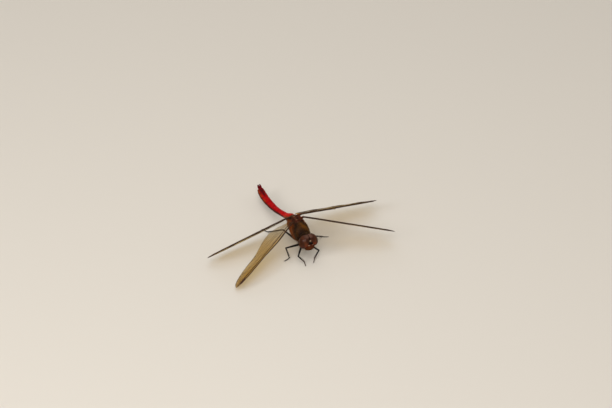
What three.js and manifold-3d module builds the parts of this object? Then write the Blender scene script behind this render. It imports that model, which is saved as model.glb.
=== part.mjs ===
// A male common darter dragonfly at rest on flat ground, life size, as a still museum model.
// Millimetres, +Z up. The insect faces -Y and its own left side is +X. The origin lies on the
// floor, under the middle of the overall box. Every part of the body is one closed solid, and a
// thin cut parts it from its neighbours.
import * as THREE from "three";
import { mergeVertices } from "three/addons/utils/BufferGeometryUtils.js";
import Module from "manifold-3d";

const wasm = await Module();
wasm.setup();

// ---------------------------------------------------------------- driving dimensions
const CUT = 0.08; // width of the thin cut between two parts
const SIDES = { left: 1, right: -1 };

const HEAD = at(0, -6.4, 7.0); // middle of the head
const HEAD_WIDTH = 6.0;

const THORAX_FRONT = -3.9; // where the thorax starts, behind the neck
const THORAX_BACK = 4.9; // where it meets the abdomen
const THORAX_WIDTH = 5.3;
const THORAX_MIDDLE = 7.2; // height about which the thorax leans
const THORAX_LEAN = degrees(7); // its left side is carried a little higher

const SEGMENT_LENGTHS = [0.9, 1.9, 3.4, 3.6, 3.7, 3.6, 3.3, 2.2, 1.6, 1.0];
const ABDOMEN_WIDTH = 2.7; // across the seventh segment
const CERCUS_LENGTH = 1.5;

const FORE_WING_LENGTH = 29.5;
const HIND_WING_LENGTH = 28.8;
const WING_THICKNESS = 0.5;

const LEG_SIZES = {
  front: { femur: 4.0, tibia: 2.9, tarsus: 1.8 },
  middle: { femur: 5.1, tibia: 4.2, tarsus: 2.1 },
  hind: { femur: 6.5, tibia: 6.3, tarsus: 2.7 },
};
const COXA_RADII = [0.62, 0.55, 0.4]; // from the body to the thigh
const FEMUR_RADII = [0.32, 0.37, 0.27]; // at the hip, where it is thickest, and at the knee
const SHIN_RADIUS = 0.25; // tibia, tarsus and antenna
const TOE_HEIGHT = 0.2; // axis of the foot above the floor, under the radius, so that it has a flat

const ANTENNA_LENGTH = 2.2;

// ---------------------------------------------------------------- small tools
function at(x, y, z) {
  return new THREE.Vector3(x, y, z);
}

function degrees(angle) {
  return (angle * Math.PI) / 180;
}

// A smooth curve through [position, value] stations, as a function of the position.
function through(stations) {
  const last = stations.length - 1;
  const rise = (a, b) => (stations[b][1] - stations[a][1]) / (stations[b][0] - stations[a][0]);
  const slopes = stations.map((_, i) => rise(Math.max(0, i - 1), Math.min(last, i + 1)));
  return (position) => {
    const u = Math.min(Math.max(position, stations[0][0]), stations[last][0]);
    const i = Math.min(
      last - 1,
      stations.findLastIndex(([start]) => start <= u),
    );
    const [start, from] = stations[i];
    const [end, to] = stations[i + 1];
    const step = end - start;
    const t = (u - start) / step;
    return (
      from * (2 * t ** 3 - 3 * t ** 2 + 1) +
      to * (3 * t ** 2 - 2 * t ** 3) +
      slopes[i] * step * (t ** 3 - 2 * t ** 2 + t) +
      slopes[i + 1] * step * (t ** 3 - t ** 2)
    );
  };
}

// Moves each vertex of a geometry to place(x, y, z).
function reshape(geometry, place) {
  const points = geometry.attributes.position;
  for (let i = 0; i < points.count; i++) {
    const moved = place(points.getX(i), points.getY(i), points.getZ(i));
    points.setXYZ(i, moved.x, moved.y, moved.z);
  }
  return geometry;
}

// A closed geometry as a solid that can be joined and cut. One that a reshaping has turned inside
// out is turned back.
function solid(geometry) {
  const bare = geometry.clone();
  bare.deleteAttribute("normal");
  bare.deleteAttribute("uv");
  const merged = mergeVertices(bare, 1e-4);
  const vertProperties = new Float32Array(merged.attributes.position.array);
  const triVerts = new Uint32Array(merged.index.array);
  const made = new wasm.Manifold(new wasm.Mesh({ numProp: 3, vertProperties, triVerts }));
  if (made.volume() > 0) return made;
  return new wasm.Manifold(new wasm.Mesh({ numProp: 3, vertProperties, triVerts: triVerts.reverse() }));
}

// A ball with three radii. lean shears its top sideways.
function ellipsoid(centre, [wide, long, high], lean, around, down) {
  const ball = new THREE.SphereGeometry(1, around, down);
  const place = (x, y, z) => at(wide * x - lean * high * y, -long * z, high * y).add(centre);
  return solid(reshape(ball, place));
}

function block(low, high) {
  const size = high.clone().sub(low);
  const box = new THREE.BoxGeometry(size.x, size.y, size.z);
  box.translate(...low.clone().addScaledVector(size, 0.5).toArray());
  return solid(box);
}

// A closed tube of changing section. section(t) gives, for t from 0 to 1, its centre and the two
// half-axes, and its fullness: 2 is an ellipse, and more is squarer. narrow shrinks the width
// towards the second axis.
function loft(section, steps, around) {
  const stack = new THREE.CylinderGeometry(1, 1, 1, around, steps);
  const place = (x, y, z) => {
    const { centre, across, up, fullness = 2, narrow = 0 } = section(0.5 - y);
    const reach = Math.min(1, Math.hypot(x, z));
    if (reach < 0.5) return centre.clone();
    const c = x / reach;
    const s = z / reach;
    const round = (Math.abs(c) ** fullness + Math.abs(s) ** fullness) ** (-1 / fullness);
    return centre
      .clone()
      .addScaledVector(across, c * round * (1 - narrow * s))
      .addScaledVector(up, s * round);
  };
  return solid(reshape(stack, place));
}

// A limb along a line of points, with a radius at each.
function limb(points, radii, around = 8) {
  const last = points.length - 1;
  const section = (t) => {
    const i = Math.round(t * last);
    const along = points[Math.min(last, i + 1)].clone().sub(points[Math.max(0, i - 1)]).normalize();
    const across = at(0, 0, 1).cross(along).normalize();
    const up = along.cross(across);
    return {
      centre: points[i],
      across: across.multiplyScalar(radii[i]),
      up: up.multiplyScalar(radii[i]),
    };
  };
  return loft(section, last, around);
}

function largest(shape) {
  const bodies = shape.decompose();
  return bodies.reduce((a, b) => (a.volume() > b.volume() ? a : b));
}

function cutAway(shape, ...tools) {
  return largest(tools.reduce((left, tool) => left.subtract(tool), shape));
}

// ---------------------------------------------------------------- the group and its materials
const dragonfly = new THREE.Group();

function finish(color, roughness) {
  return new THREE.MeshStandardMaterial({ color, roughness, metalness: 0 });
}

const FINISHES = {
  abdomen: finish(0xc01008, 0.4),
  thorax: finish(0x6b3a1c, 0.6),
  eyes: finish(0x5a2416, 0.2),
  face: finish(0x9a4a24, 0.45),
  legs: finish(0x1c1a1a, 0.4),
  wings: finish(0xb9924e, 0.3),
};

function add(name, shape, look) {
  const mesh = shape.getMesh();
  const geometry = new THREE.BufferGeometry();
  geometry.setAttribute("position", new THREE.BufferAttribute(mesh.vertProperties, 3));
  geometry.setIndex(new THREE.BufferAttribute(mesh.triVerts, 1));
  geometry.computeVertexNormals();
  const part = new THREE.Mesh(geometry, FINISHES[look]);
  part.name = name;
  dragonfly.add(part);
}

// ---------------------------------------------------------------- thorax
// The fused middle and hind thorax: a deep barrel. Its front slopes up from the neck to the wing
// bases, and its belly rises to the abdomen. grow swells it, for cutting its neighbours.
const THORAX_CENTRE = (THORAX_FRONT + THORAX_BACK) / 2;
const THORAX_TOP = through([
  [-3.9, 7.9], [-2.6, 9.3], [-1.0, 10.3], [1.4, 10.85], [3.6, 10.65], [4.9, 9.8],
]);
const THORAX_BELLY = through([
  [-3.9, 5.5], [-2.6, 4.5], [-1.0, 4.0], [1.2, 4.35], [3.2, 5.7], [4.9, 7.1],
]);
// half-width, as a share of the greatest
const THORAX_SIDE = through([
  [-3.9, 0.55], [-2.8, 0.86], [-1.0, 1.0], [2.2, 1.0], [3.8, 0.88], [4.9, 0.62],
]);

function thorax(grow) {
  const left = at(Math.cos(THORAX_LEAN), 0, Math.sin(THORAX_LEAN));
  const up = at(-Math.sin(THORAX_LEAN), 0, Math.cos(THORAX_LEAN));
  const section = (t) => {
    const y = THREE.MathUtils.lerp(THORAX_FRONT, THORAX_BACK, t);
    const height = THORAX_TOP(y) - THORAX_BELLY(y);
    const middle = (THORAX_TOP(y) + THORAX_BELLY(y)) / 2;
    const spread = 1 + (2 * grow) / (THORAX_BACK - THORAX_FRONT);
    const axis = at(0, (y - THORAX_CENTRE) * spread + THORAX_CENTRE, THORAX_MIDDLE);
    return {
      centre: axis.addScaledVector(up, middle - THORAX_MIDDLE),
      across: left.clone().multiplyScalar((THORAX_WIDTH / 2) * THORAX_SIDE(y) + grow),
      up: up.clone().multiplyScalar(height / 2 + grow),
      fullness: 2.8,
      narrow: 0.03,
    };
  };
  return loft(section, 12, 20);
}

add("thorax", thorax(0), "thorax");

// ---------------------------------------------------------------- head
// The capsule between and behind the eyes, with the swollen forehead and mouth plates in front.
// Measures are from the middle of the head, for a head width of 6 mm. The eyes swell just past it.
function headPoint(x, y, z) {
  return at(x, y, z).multiplyScalar(HEAD_WIDTH / 6).add(HEAD);
}

function headBall([x, y, z], radii, grow, around, down, lean = 0) {
  const swollen = radii.map((r) => (r * HEAD_WIDTH) / 6 + grow);
  return ellipsoid(headPoint(x, y, z), swollen, lean, around, down);
}

// Each eye wraps its side of the head from the crown to below the face, and the two meet on top.
const EYE_OUT = 1.52;
const EYE_RADII = [1.58, 1.9, 2.12];
const EYE_LEAN = 0.2; // their tops lean together

function eye(side, grow) {
  const whole = headBall([EYE_OUT * side, 0.1, 0.3], EYE_RADII, grow, 18, 13, EYE_LEAN * side);
  const inner = (CUT / 2 - grow) * side;
  const outer = 5 * side;
  const room = block(
    headPoint(Math.min(inner, outer), -5, -5),
    headPoint(Math.max(inner, outer), 5, 5),
  );
  return whole.intersect(room);
}

function capsule(grow) {
  const back = headBall([0, 0.35, -0.15], [2.45, 1.55, 2.0], grow, 16, 12);
  const brow = headBall([0, -0.95, 0.95], [0.62, 0.5, 0.62], grow, 10, 6);
  const forehead = headBall([0, -1.1, -0.05], [1.3, 0.95, 0.75], grow, 14, 8);
  const nose = headBall([0, -0.95, -0.95], [1.75, 1.0, 0.77], grow, 14, 8);
  const lip = headBall([0, -0.85, -1.75], [1.7, 1.0, 0.8], grow, 14, 8);
  const chin = headBall([0, -0.2, -2.1], [1.65, 1.2, 0.76], grow, 14, 8);
  return [brow, forehead, nose, lip, chin].reduce((joined, ball) => joined.add(ball), back);
}

const eyes = { left: eye(SIDES.left, 0), right: eye(SIDES.right, 0) };
const eyeRooms = [eye(SIDES.left, CUT), eye(SIDES.right, CUT)];
const bareHead = cutAway(capsule(0), ...eyeRooms);

// The face plates, from the forehead down: each is the slice of the bare head between two levels,
// in front of a rear plane.
const FACE_BACK = -0.75;
const CHIN_BACK = 0.55;
const FACE_LEVELS = {
  frons: [-0.45, 0.42],
  clypeus: [-1.25, -0.45],
  labrum: [-2.05, -1.25],
  labium: [-3, -2.05],
};

function facePlate([low, high], rear, grow) {
  return block(headPoint(-3, -5, low - grow), headPoint(3, rear + grow, high + grow));
}

const plateRooms = [];
for (const [name, levels] of Object.entries(FACE_LEVELS)) {
  const rear = name === "labium" ? CHIN_BACK : FACE_BACK;
  add(name, largest(bareHead.intersect(facePlate(levels, rear, -CUT / 2))), "face");
  plateRooms.push(facePlate(levels, rear, CUT / 2));
}
const head = cutAway(bareHead, ...plateRooms);
add("head", head, "face");

for (const [side, sign] of Object.entries(SIDES)) {
  add(`eye_${side}`, eyes[side], "eyes");
  const socket = headPoint(0.5 * sign, -1.05, 0.95);
  const tip = at(0.5 * sign, -0.8, 0.33).setLength(ANTENNA_LENGTH).add(socket);
  const feeler = limb([socket, tip], [SHIN_RADIUS, SHIN_RADIUS], 6);
  add(`antenna_${side}`, cutAway(feeler, capsule(CUT), ...eyeRooms), "legs");
}

// ---------------------------------------------------------------- neck and front thorax
// A short collar between the head and the barrel of the thorax. It carries the front legs.
const COLLAR = [
  { centre: headPoint(0, 1.5, -0.1), wide: 0.75, high: 0.75 },
  { centre: at(0, -4.85, 6.85), wide: 0.85, high: 0.95 },
  { centre: at(0, -4.45, 6.8), wide: 1.35, high: 1.5 },
  { centre: at(0, -3.9, 6.75), wide: 1.5, high: 1.75 },
  { centre: at(0, -3.5, 6.8), wide: 1.35, high: 1.6 },
];

function collar(grow) {
  const steps = COLLAR.length - 1;
  const section = (t) => {
    const { centre, wide, high } = COLLAR[Math.round(t * steps)];
    return { centre, across: at(wide + grow, 0, 0), up: at(0, 0, high + grow), fullness: 2.2 };
  };
  return loft(section, steps, 16);
}

add("prothorax", cutAway(collar(0), thorax(CUT), capsule(CUT), ...eyeRooms), "thorax");

// ---------------------------------------------------------------- abdomen
// Ten rings along a back that falls from the thorax, runs level and lifts a little at the tip. It
// bends slightly to the insect's right and back again. The abdomen is deep and swollen at its base, narrow behind
// that, and widest near its seventh ring.
const BACKBONE = new THREE.CatmullRomCurve3([
  at(0, 4.4, 8.45),
  at(0, 7.0, 7.45),
  at(-0.05, 11.2, 5.85),
  at(-0.2, 15.3, 4.6),
  at(-0.3, 19.2, 3.92),
  at(-0.28, 23.6, 3.62),
  at(-0.02, 27.4, 3.86),
  at(0.38, 30.2, 4.45),
]);
const RING_STATIONS = [0, 0.9, 2.0, 2.8, 4.6, 8.0, 13.5, 17.1, 20.4, 22.6, 24.2, 25.2];
const RING_WIDTH = [0.88, 1.0, 1.04, 0.98, 0.79, 0.74, 0.85, 0.95, 1.0, 0.99, 0.9, 0.74];
const RING_HEIGHT = [0.89, 1.04, 1.08, 1.02, 0.77, 0.68, 0.66, 0.66, 0.66, 0.63, 0.58, 0.49];
const widthAlong = through(RING_STATIONS.map((s, i) => [s, (ABDOMEN_WIDTH / 2) * RING_WIDTH[i]]));
const heightAlong = through(RING_STATIONS.map((s, i) => [s, (ABDOMEN_WIDTH / 2) * RING_HEIGHT[i]]));
const backboneLength = BACKBONE.getLength();

function ringPlace(distance) {
  const u = distance / backboneLength;
  const along = BACKBONE.getTangentAt(u);
  return { centre: BACKBONE.getPointAt(u), along, up: at(1, 0, 0).cross(along) };
}

// Each ring bulges slightly between its two joints.
function abdomenRing(start, end, steps) {
  const section = (t) => {
    const distance = THREE.MathUtils.lerp(start, end, t);
    const { centre, up } = ringPlace(distance);
    const swell = 1 - 0.05 * Math.abs(2 * t - 1) ** 4;
    return {
      centre,
      across: at(widthAlong(distance) * swell, 0, 0),
      up: up.multiplyScalar(heightAlong(distance) * swell),
      fullness: 2.3,
      narrow: 0.06,
    };
  };
  return loft(section, steps, 16);
}

let reached = 0;
SEGMENT_LENGTHS.forEach((length, i) => {
  const ring = abdomenRing(reached, reached + length - CUT, length > 3 ? 5 : 4);
  add(`abdomen_${i + 1}`, i < 2 ? cutAway(ring, thorax(CUT)) : ring, "abdomen");
  reached += length;
});

// The two claspers at the tip, and the plate under and between them.
const tail = ringPlace(reached);

function tailPoint(across, along, up) {
  const point = tail.centre.clone().add(at(across, 0, 0));
  return point.addScaledVector(tail.along, along).addScaledVector(tail.up, up);
}

for (const [side, sign] of Object.entries(SIDES)) {
  const clasper = limb(
    [
      tailPoint(0.46 * sign, 0, 0.2),
      tailPoint(0.5 * sign, 0.45 * CERCUS_LENGTH, 0.28),
      tailPoint(0.42 * sign, CERCUS_LENGTH, 0.42),
    ],
    [0.25, 0.3, 0.25],
  );
  add(`cercus_${side}`, clasper, "abdomen");
}
add(
  "epiproct",
  limb([tailPoint(0, 0, -0.2), tailPoint(0, 0.5, -0.18), tailPoint(0, 1.0, -0.05)], [0.27, 0.27, 0.25]),
  "abdomen",
);

// ---------------------------------------------------------------- wings
// Each wing is a thin cambered blade about the line from its base to its tip. The stations give
// how far its leading and trailing edges lie from that line, as the share of the length grows.
const FORE_EDGES = {
  leading: through([
    [0, 0.5], [0.08, 0.85], [0.3, 1.35], [0.5, 1.6], [0.75, 1.7],
    [0.88, 1.45], [0.96, 0.85], [0.99, 0.35], [1, 0.08],
  ]),
  trailing: through([
    [0, -0.8], [0.05, -1.5], [0.12, -3.2], [0.22, -4.5], [0.38, -5.2], [0.55, -5.5],
    [0.7, -5.2], [0.84, -4.2], [0.93, -2.8], [0.98, -1.2], [1, -0.12],
  ]),
};
const HIND_EDGES = {
  leading: through([
    [0, 0.5], [0.08, 0.8], [0.3, 1.35], [0.45, 1.6], [0.75, 1.75],
    [0.88, 1.5], [0.96, 0.85], [0.99, 0.35], [1, 0.08],
  ]),
  trailing: through([
    [0, -1.9], [0.03, -4.4], [0.08, -6.4], [0.15, -7.4], [0.24, -7.75], [0.36, -7.3], [0.5, -6.5],
    [0.66, -5.7], [0.82, -4.4], [0.92, -3.0], [0.98, -1.3], [1, -0.12],
  ]),
};
const CAMBER = 0.035; // rise of the blade's middle, as a share of its width
const TWIST_SPAN = [0.2, 0.55]; // shares of the length between which a twist fades out

// pitch tips the leading edge up from level, and twist takes some of that away towards the root.
function wing(base, tip, length, pitch, twist, edges) {
  const along = tip.clone().sub(base).normalize();
  const forward = at(0, -1, 0).addScaledVector(along, along.y).normalize();
  const above = forward.clone().cross(along);
  if (above.z < 0) above.negate();
  const blade = new THREE.BoxGeometry(1, 1, 1, 22, 5, 1);
  const place = (x, y, z) => {
    // the stations crowd together towards the rounded tip
    const even = x + 0.5;
    const share = even + 0.07 * Math.sin(2 * Math.PI * even) * (even - 0.2);
    const lead = edges.leading(share);
    const trail = edges.trailing(share);
    const width = lead - trail;
    const rise = CAMBER * width * (1 - (2 * y) ** 2) + z * WING_THICKNESS;
    const angle = pitch - twist * (1 - THREE.MathUtils.smoothstep(share, ...TWIST_SPAN));
    const chord = forward.clone().multiplyScalar(Math.cos(angle)).addScaledVector(above, Math.sin(angle));
    const face = chord.clone().cross(along);
    if (face.z < 0) face.negate();
    return base
      .clone()
      .addScaledVector(along, share * length)
      .addScaledVector(chord, (lead + trail) / 2 + y * width)
      .addScaledVector(face, rise);
  };
  return solid(reshape(blade, place));
}

const WINGS = {
  fore_wing_left: [at(2.05, 1.35, 10.75), at(27.95, -11.9, 5.1), FORE_WING_LENGTH, 33, 0, FORE_EDGES],
  fore_wing_right: [at(-2.0, 1.4, 10.2), at(-27.25, -11.2, 1.7), FORE_WING_LENGTH, 30, 22, FORE_EDGES],
  hind_wing_left: [at(2.0, 3.3, 10.5), at(30.2, 5.4, 5.0), HIND_WING_LENGTH, 33, 0, HIND_EDGES],
  hind_wing_right: [at(-2.0, 3.6, 10.3), at(-30.0, 4.0, 3.7), HIND_WING_LENGTH, 46, 0, HIND_EDGES],
};
for (const [name, [base, tip, length, pitch, twist, edges]] of Object.entries(WINGS)) {
  const blade = wing(base, tip, length, degrees(pitch), degrees(twist), edges);
  add(name, cutAway(blade, thorax(CUT), abdomenRing(0, 4, 6)), "wings");
}

// ---------------------------------------------------------------- legs
// Each leg is a hip piece under the thorax, a thigh, a shin and a foot that lies on the floor. The
// hip piece of a left leg runs from root to hip, and a right leg's is its mirror image.
const HIPS = {
  front: { root: [0.6, -3.4, 5.2], hip: [1.1, -3.85, 4.2] },
  middle: { root: [0.7, -1.9, 4.8], hip: [1.3, -2.4, 3.5] },
  hind: { root: [0.75, 0.1, 4.9], hip: [1.35, 0.3, 3.8] },
};
// toe is the far end of the foot, turn is the foot's direction in plan, and knee is roughly where
// the thigh and the shin bend.
const LEG_POSES = {
  front_left: { toe: [0.6, -8.9], turn: 235, knee: at(3.7, -6.6, 2.5) },
  front_right: { toe: [-2.4, -9.3], turn: 257, knee: at(-3.6, -6.6, 2.6) },
  middle_left: { toe: [10.8, 0.9], turn: -22, knee: at(5.4, 0.2, 3.4) },
  middle_right: { toe: [-7.3, -4.1], turn: 195, knee: at(-6.3, -3.3, 4.5) },
  hind_left: { toe: [5.3, 14.7], turn: 68, knee: at(2.6, 6.6, 3.7) },
  hind_right: { toe: [-6.4, 13.9], turn: 113, knee: at(-2.4, 6.7, 3.3) },
};
const ANKLE_HEIGHT = 0.45;

// The point at its own distance from each end of a bent limb, on the side of a rough guess.
function bend(start, end, first, second, guess) {
  const line = end.clone().sub(start);
  const span = Math.min(line.length(), 0.999 * (first + second));
  line.normalize();
  const along = (first ** 2 - second ** 2 + span ** 2) / (2 * span);
  const away = Math.sqrt(Math.max(0, first ** 2 - along ** 2));
  const side = guess.clone().sub(start);
  side.addScaledVector(line, -side.dot(line)).setLength(away);
  return start.clone().addScaledVector(line, along).add(side);
}

// A point past the end of a line from one point to another.
function past(from, to, extra) {
  const line = to.clone().sub(from);
  return to.clone().addScaledVector(line, extra / line.length());
}

const aboveFloor = block(at(-50, -50, 0), at(50, 50, 50));
for (const [name, pose] of Object.entries(LEG_POSES)) {
  const [pair, side] = name.split("_");
  const size = LEG_SIZES[pair];
  const [root, hip] = [HIPS[pair].root, HIPS[pair].hip].map(([x, y, z]) => at(SIDES[side] * x, y, z));
  const heading = at(Math.cos(degrees(pose.turn)), Math.sin(degrees(pose.turn)), 0);
  const toe = at(...pose.toe, TOE_HEIGHT);
  const ankle = toe.clone().addScaledVector(heading, -size.tarsus).setZ(ANKLE_HEIGHT);
  const sole = toe.clone().addScaledVector(heading, -0.55 * size.tarsus);
  const knee = bend(hip, ankle, size.femur, size.tibia, pose.knee);

  // each length, swollen by grow where it cuts its neighbour
  const joint = (points, radii, grow) => limb(points, radii.map((radius) => radius + grow));
  const coxa = (grow) => joint([root, root.clone().lerp(hip, 0.45), past(root, hip, 0.1)], COXA_RADII, grow);
  const femur = (grow) => joint([hip, hip.clone().lerp(knee, 0.3), past(hip, knee, 0.12)], FEMUR_RADII, grow);
  const tibia = (grow) => joint([knee, past(knee, ankle, 0.08)], [SHIN_RADIUS, SHIN_RADIUS], grow);
  const tarsus = joint([ankle, sole, toe], [SHIN_RADIUS, SHIN_RADIUS, SHIN_RADIUS], 0);

  const body = [thorax(CUT), collar(CUT)];
  add(`${name}_coxa`, cutAway(coxa(0), ...body), "legs");
  add(`${name}_femur`, cutAway(femur(0), coxa(CUT), ...body), "legs");
  add(`${name}_tibia`, cutAway(tibia(0), femur(CUT)), "legs");
  add(`${name}_tarsus`, cutAway(tarsus.intersect(aboveFloor), tibia(CUT)), "legs");
}

// ---------------------------------------------------------------- origin
// The middle of the overall box goes over the origin, and the feet already stand on the floor.
const box = new THREE.Box3().setFromObject(dragonfly);
const middle = box.getCenter(at(0, 0, 0));
for (const part of dragonfly.children) {
  part.geometry.translate(-middle.x, -middle.y, 0);
}

export default dragonfly;
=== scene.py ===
# A male common darter dragonfly as a life-size still model on a pale floor, in metres.
import itertools
import math

import bpy
import numpy as np
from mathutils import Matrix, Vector


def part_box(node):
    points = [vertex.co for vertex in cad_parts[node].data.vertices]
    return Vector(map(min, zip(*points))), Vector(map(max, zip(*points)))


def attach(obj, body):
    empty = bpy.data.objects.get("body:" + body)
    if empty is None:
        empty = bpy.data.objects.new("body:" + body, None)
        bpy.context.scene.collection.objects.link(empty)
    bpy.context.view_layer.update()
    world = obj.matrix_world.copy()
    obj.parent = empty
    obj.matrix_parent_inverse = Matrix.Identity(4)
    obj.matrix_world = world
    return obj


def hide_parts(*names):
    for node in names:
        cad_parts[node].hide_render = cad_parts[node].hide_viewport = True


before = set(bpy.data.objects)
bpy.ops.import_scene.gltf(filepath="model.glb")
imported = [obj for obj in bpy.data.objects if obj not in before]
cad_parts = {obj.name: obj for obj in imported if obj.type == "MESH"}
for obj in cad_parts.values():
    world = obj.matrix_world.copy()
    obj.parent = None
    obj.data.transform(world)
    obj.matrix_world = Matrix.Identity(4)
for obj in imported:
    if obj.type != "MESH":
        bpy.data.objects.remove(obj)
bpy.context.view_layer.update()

# ---------------------------------------------------------------- body shell
# Head capsule, neck, thorax, hips and the ten rings of the abdomen: one hard skin of cuticle. It is
# welded from overlapping bulbs and barrels, and its seams are pressed in afterwards. Measures are in
# millimetres from a point on the floor under the body; x is the insect's left and -y its front.
MM = 0.001
HEAD = np.array((0, -6.4, 7.0))
EYES_FROM_HEAD = (0, 0.1, 0.3)
THORAX_MIDDLE = 7.2
THORAX_LEAN = math.radians(7)
THORAX_ENDS = (-3.9, 4.9)
THORAX_HALF_WIDTH = 2.65
WIDEST_RING = 1.3
COAT_DEPTH = 0.12
SADDLE_DEPTH = 0.3
SKIN_CELL = 0.07
SIDES = {"left": 1, "right": -1}

eye_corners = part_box("eye_left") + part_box("eye_right")
floor_spot = np.array(sum(eye_corners, Vector()) / 4) - (HEAD + EYES_FROM_HEAD) * MM


def through(*stations):
    """A smooth curve through (position, value) stations, as a function of the position."""
    at, value = np.array(stations, float).T
    order = np.arange(len(at))
    before, after = np.maximum(order - 1, 0), np.minimum(order + 1, len(at) - 1)
    slope = (value[after] - value[before]) / (at[after] - at[before])

    def curve(position):
        u = np.clip(position, at[0], at[-1])
        i = np.clip(np.searchsorted(at, u, side="right") - 1, 0, len(at) - 2)
        gap = at[i + 1] - at[i]
        t = (u - at[i]) / gap
        ends = value[i] * (2 * t**3 - 3 * t**2 + 1) + value[i + 1] * (3 * t**2 - 2 * t**3)
        return ends + gap * (slope[i] * (t**3 - 2 * t**2 + t) + slope[i + 1] * (t**3 - t**2))

    return curve


def unit(vectors):
    """The same directions with a length of 1."""
    vectors = np.asarray(vectors, float)
    return vectors / np.linalg.norm(vectors, axis=-1, keepdims=True)


def step(low, high, value):
    """0 below low, 1 above high, and a smooth rise between."""
    t = np.clip((value - low) / (high - low), 0, 1)
    return t * t * (3 - 2 * t)


def net(rows, columns, closed=True):
    """The four-sided faces between rows of points. A closed net joins the two ends of each row."""
    return [(i * columns + j, i * columns + (j + 1) % columns,
             (i + 1) * columns + (j + 1) % columns, (i + 1) * columns + j)
            for i in range(rows - 1) for j in range(columns if closed else columns - 1)]


def rod(middles, across, up, around=32, fullness=2.0, narrow=0.0):
    """A closed rod through rings, each given by its middle and its two half-axes."""
    angle = np.linspace(0, 2 * np.pi, around, endpoint=False)
    c, s = np.cos(angle), np.sin(angle)
    size = (abs(c) ** fullness + abs(s) ** fullness) ** (-1 / fullness)
    wide = (c * size * (1 - narrow * s))[None, :, None]
    high = (s * size)[None, :, None]
    middles, across, up = (np.asarray(a, float) for a in (middles, across, up))
    rings = middles[:, None] + wide * across[:, None] + high * up[:, None]
    count = len(middles)
    points = np.concatenate([rings.reshape(-1, 3), middles[:1], middles[-1:]])
    faces = net(count, around)
    first, last, last_ring = count * around, count * around + 1, (count - 1) * around
    for j in range(around):
        k = (j + 1) % around
        faces += [(first, k, j), (last, last_ring + j, last_ring + k)]
    return points, faces


def bulb(middle, radii, lean=0.0, around=48, down=32):
    """A ball with three radii. lean shears its top sideways."""
    tilt = np.linspace(0, np.pi, down + 1)
    height, reach = -np.cos(tilt), np.sin(tilt)
    middles = np.outer(height, (lean * radii[2], 0, radii[2])) + middle
    across = np.outer(reach, (radii[0], 0, 0))
    along = np.outer(reach, (0, radii[1], 0))
    return rod(middles, across, along, around)


def limb(points, radii, around=24, steps=8):
    """A round rod along a smooth line of points, with a radius at each."""
    points = np.asarray(points, float)
    share = np.linspace(0, 1, len(points))
    fine = np.linspace(0, 1, steps * (len(points) - 1) + 1)
    line = np.stack([through(*zip(share, axis))(fine) for axis in points.T], axis=1)
    thick = through(*zip(share, radii))(fine)[:, None]
    along = unit(np.gradient(line, axis=0))
    sideways = unit(np.cross((0.03, 0.02, 1.0), along))
    return rod(line, sideways * thick, np.cross(along, sideways) * thick, around)


def joined(parts):
    """Several (points, faces) forms as one."""
    points, faces, start = [], [], 0
    for form in parts:
        points.append(form[0])
        faces += [tuple(start + i for i in face) for face in form[1]]
        start += len(form[0])
    return np.concatenate(points), faces


def new_mesh(name, points, faces):
    """A smooth mesh of points and faces."""
    mesh = bpy.data.meshes.new(name)
    mesh.from_pydata(np.asarray(points).tolist(), [], faces)
    mesh.validate()
    mesh.shade_smooth()
    return mesh


def placed(name, data):
    """A new object in the scene."""
    thing = bpy.data.objects.new(name, data)
    bpy.context.scene.collection.objects.link(thing)
    return thing


def new_piece(name, points, faces, finish, slot, nodes=(), colours=None):
    """A finished piece from a form in millimetres, standing for its nodes.

    colours has one for each corner point, and the finish reads them."""
    mesh = new_mesh(name, np.asarray(points) * MM + floor_spot, faces)
    mesh.materials.append(finish)
    if colours is not None:
        layer = mesh.attributes.new("markings", "FLOAT_COLOR", "POINT")
        layer.data.foreach_set("color", np.c_[colours, np.ones(len(colours))].ravel().astype(np.float32))
    piece = placed(name, mesh)
    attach(piece, "root")
    if nodes:
        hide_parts(*nodes)
    return piece


def welded(parts, cell, rounds):
    """One even skin round overlapping forms, relaxed so that they flow together."""
    rough = placed("rough", new_mesh("rough", *joined(parts)))
    weld = rough.modifiers.new("weld", "REMESH")
    weld.mode = "VOXEL"
    weld.voxel_size = cell
    relax = rough.modifiers.new("relax", "SMOOTH")
    relax.iterations = rounds
    graph = bpy.context.evaluated_depsgraph_get()
    even = bpy.data.meshes.new_from_object(rough.evaluated_get(graph))
    points = np.empty(len(even.vertices) * 3)
    even.vertices.foreach_get("co", points)
    faces = [tuple(face.vertices) for face in even.polygons]
    bpy.data.objects.remove(rough)
    return points.reshape(-1, 3), faces


# The thorax's own left and up, as the insect carries its left side a little higher.
lean_left = np.array((math.cos(THORAX_LEAN), 0, math.sin(THORAX_LEAN)))
lean_up = np.array((-math.sin(THORAX_LEAN), 0, math.cos(THORAX_LEAN)))


def leaned(points):
    """Points of the upright thorax, carried over to its leaning stance."""
    x, y, z = np.asarray(points, float).T
    pivot = np.stack([0 * x, y, 0 * x + THORAX_MIDDLE], axis=1)
    return pivot + np.outer(x, lean_left) + np.outer(z - THORAX_MIDDLE, lean_up)


def upright(points):
    """The other way round: where leaning points would be in the upright thorax."""
    points = np.asarray(points, float)
    arm = points - (0, 0, THORAX_MIDDLE)
    arm[:, 1] = 0
    return np.stack([arm @ lean_left, points[:, 1], arm @ lean_up + THORAX_MIDDLE], axis=1)


thorax_top = through((-3.9, 7.9), (-2.6, 9.3), (-1.0, 10.3), (1.4, 10.85), (3.6, 10.65), (4.9, 9.8))
thorax_belly = through((-3.9, 5.5), (-2.6, 4.5), (-1.0, 4.0), (1.2, 4.35), (3.2, 5.7), (4.9, 7.1))
thorax_side = through((-3.9, 0.55), (-2.8, 0.86), (-1.0, 1.0), (2.2, 1.0), (3.8, 0.88), (4.9, 0.62))


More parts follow.
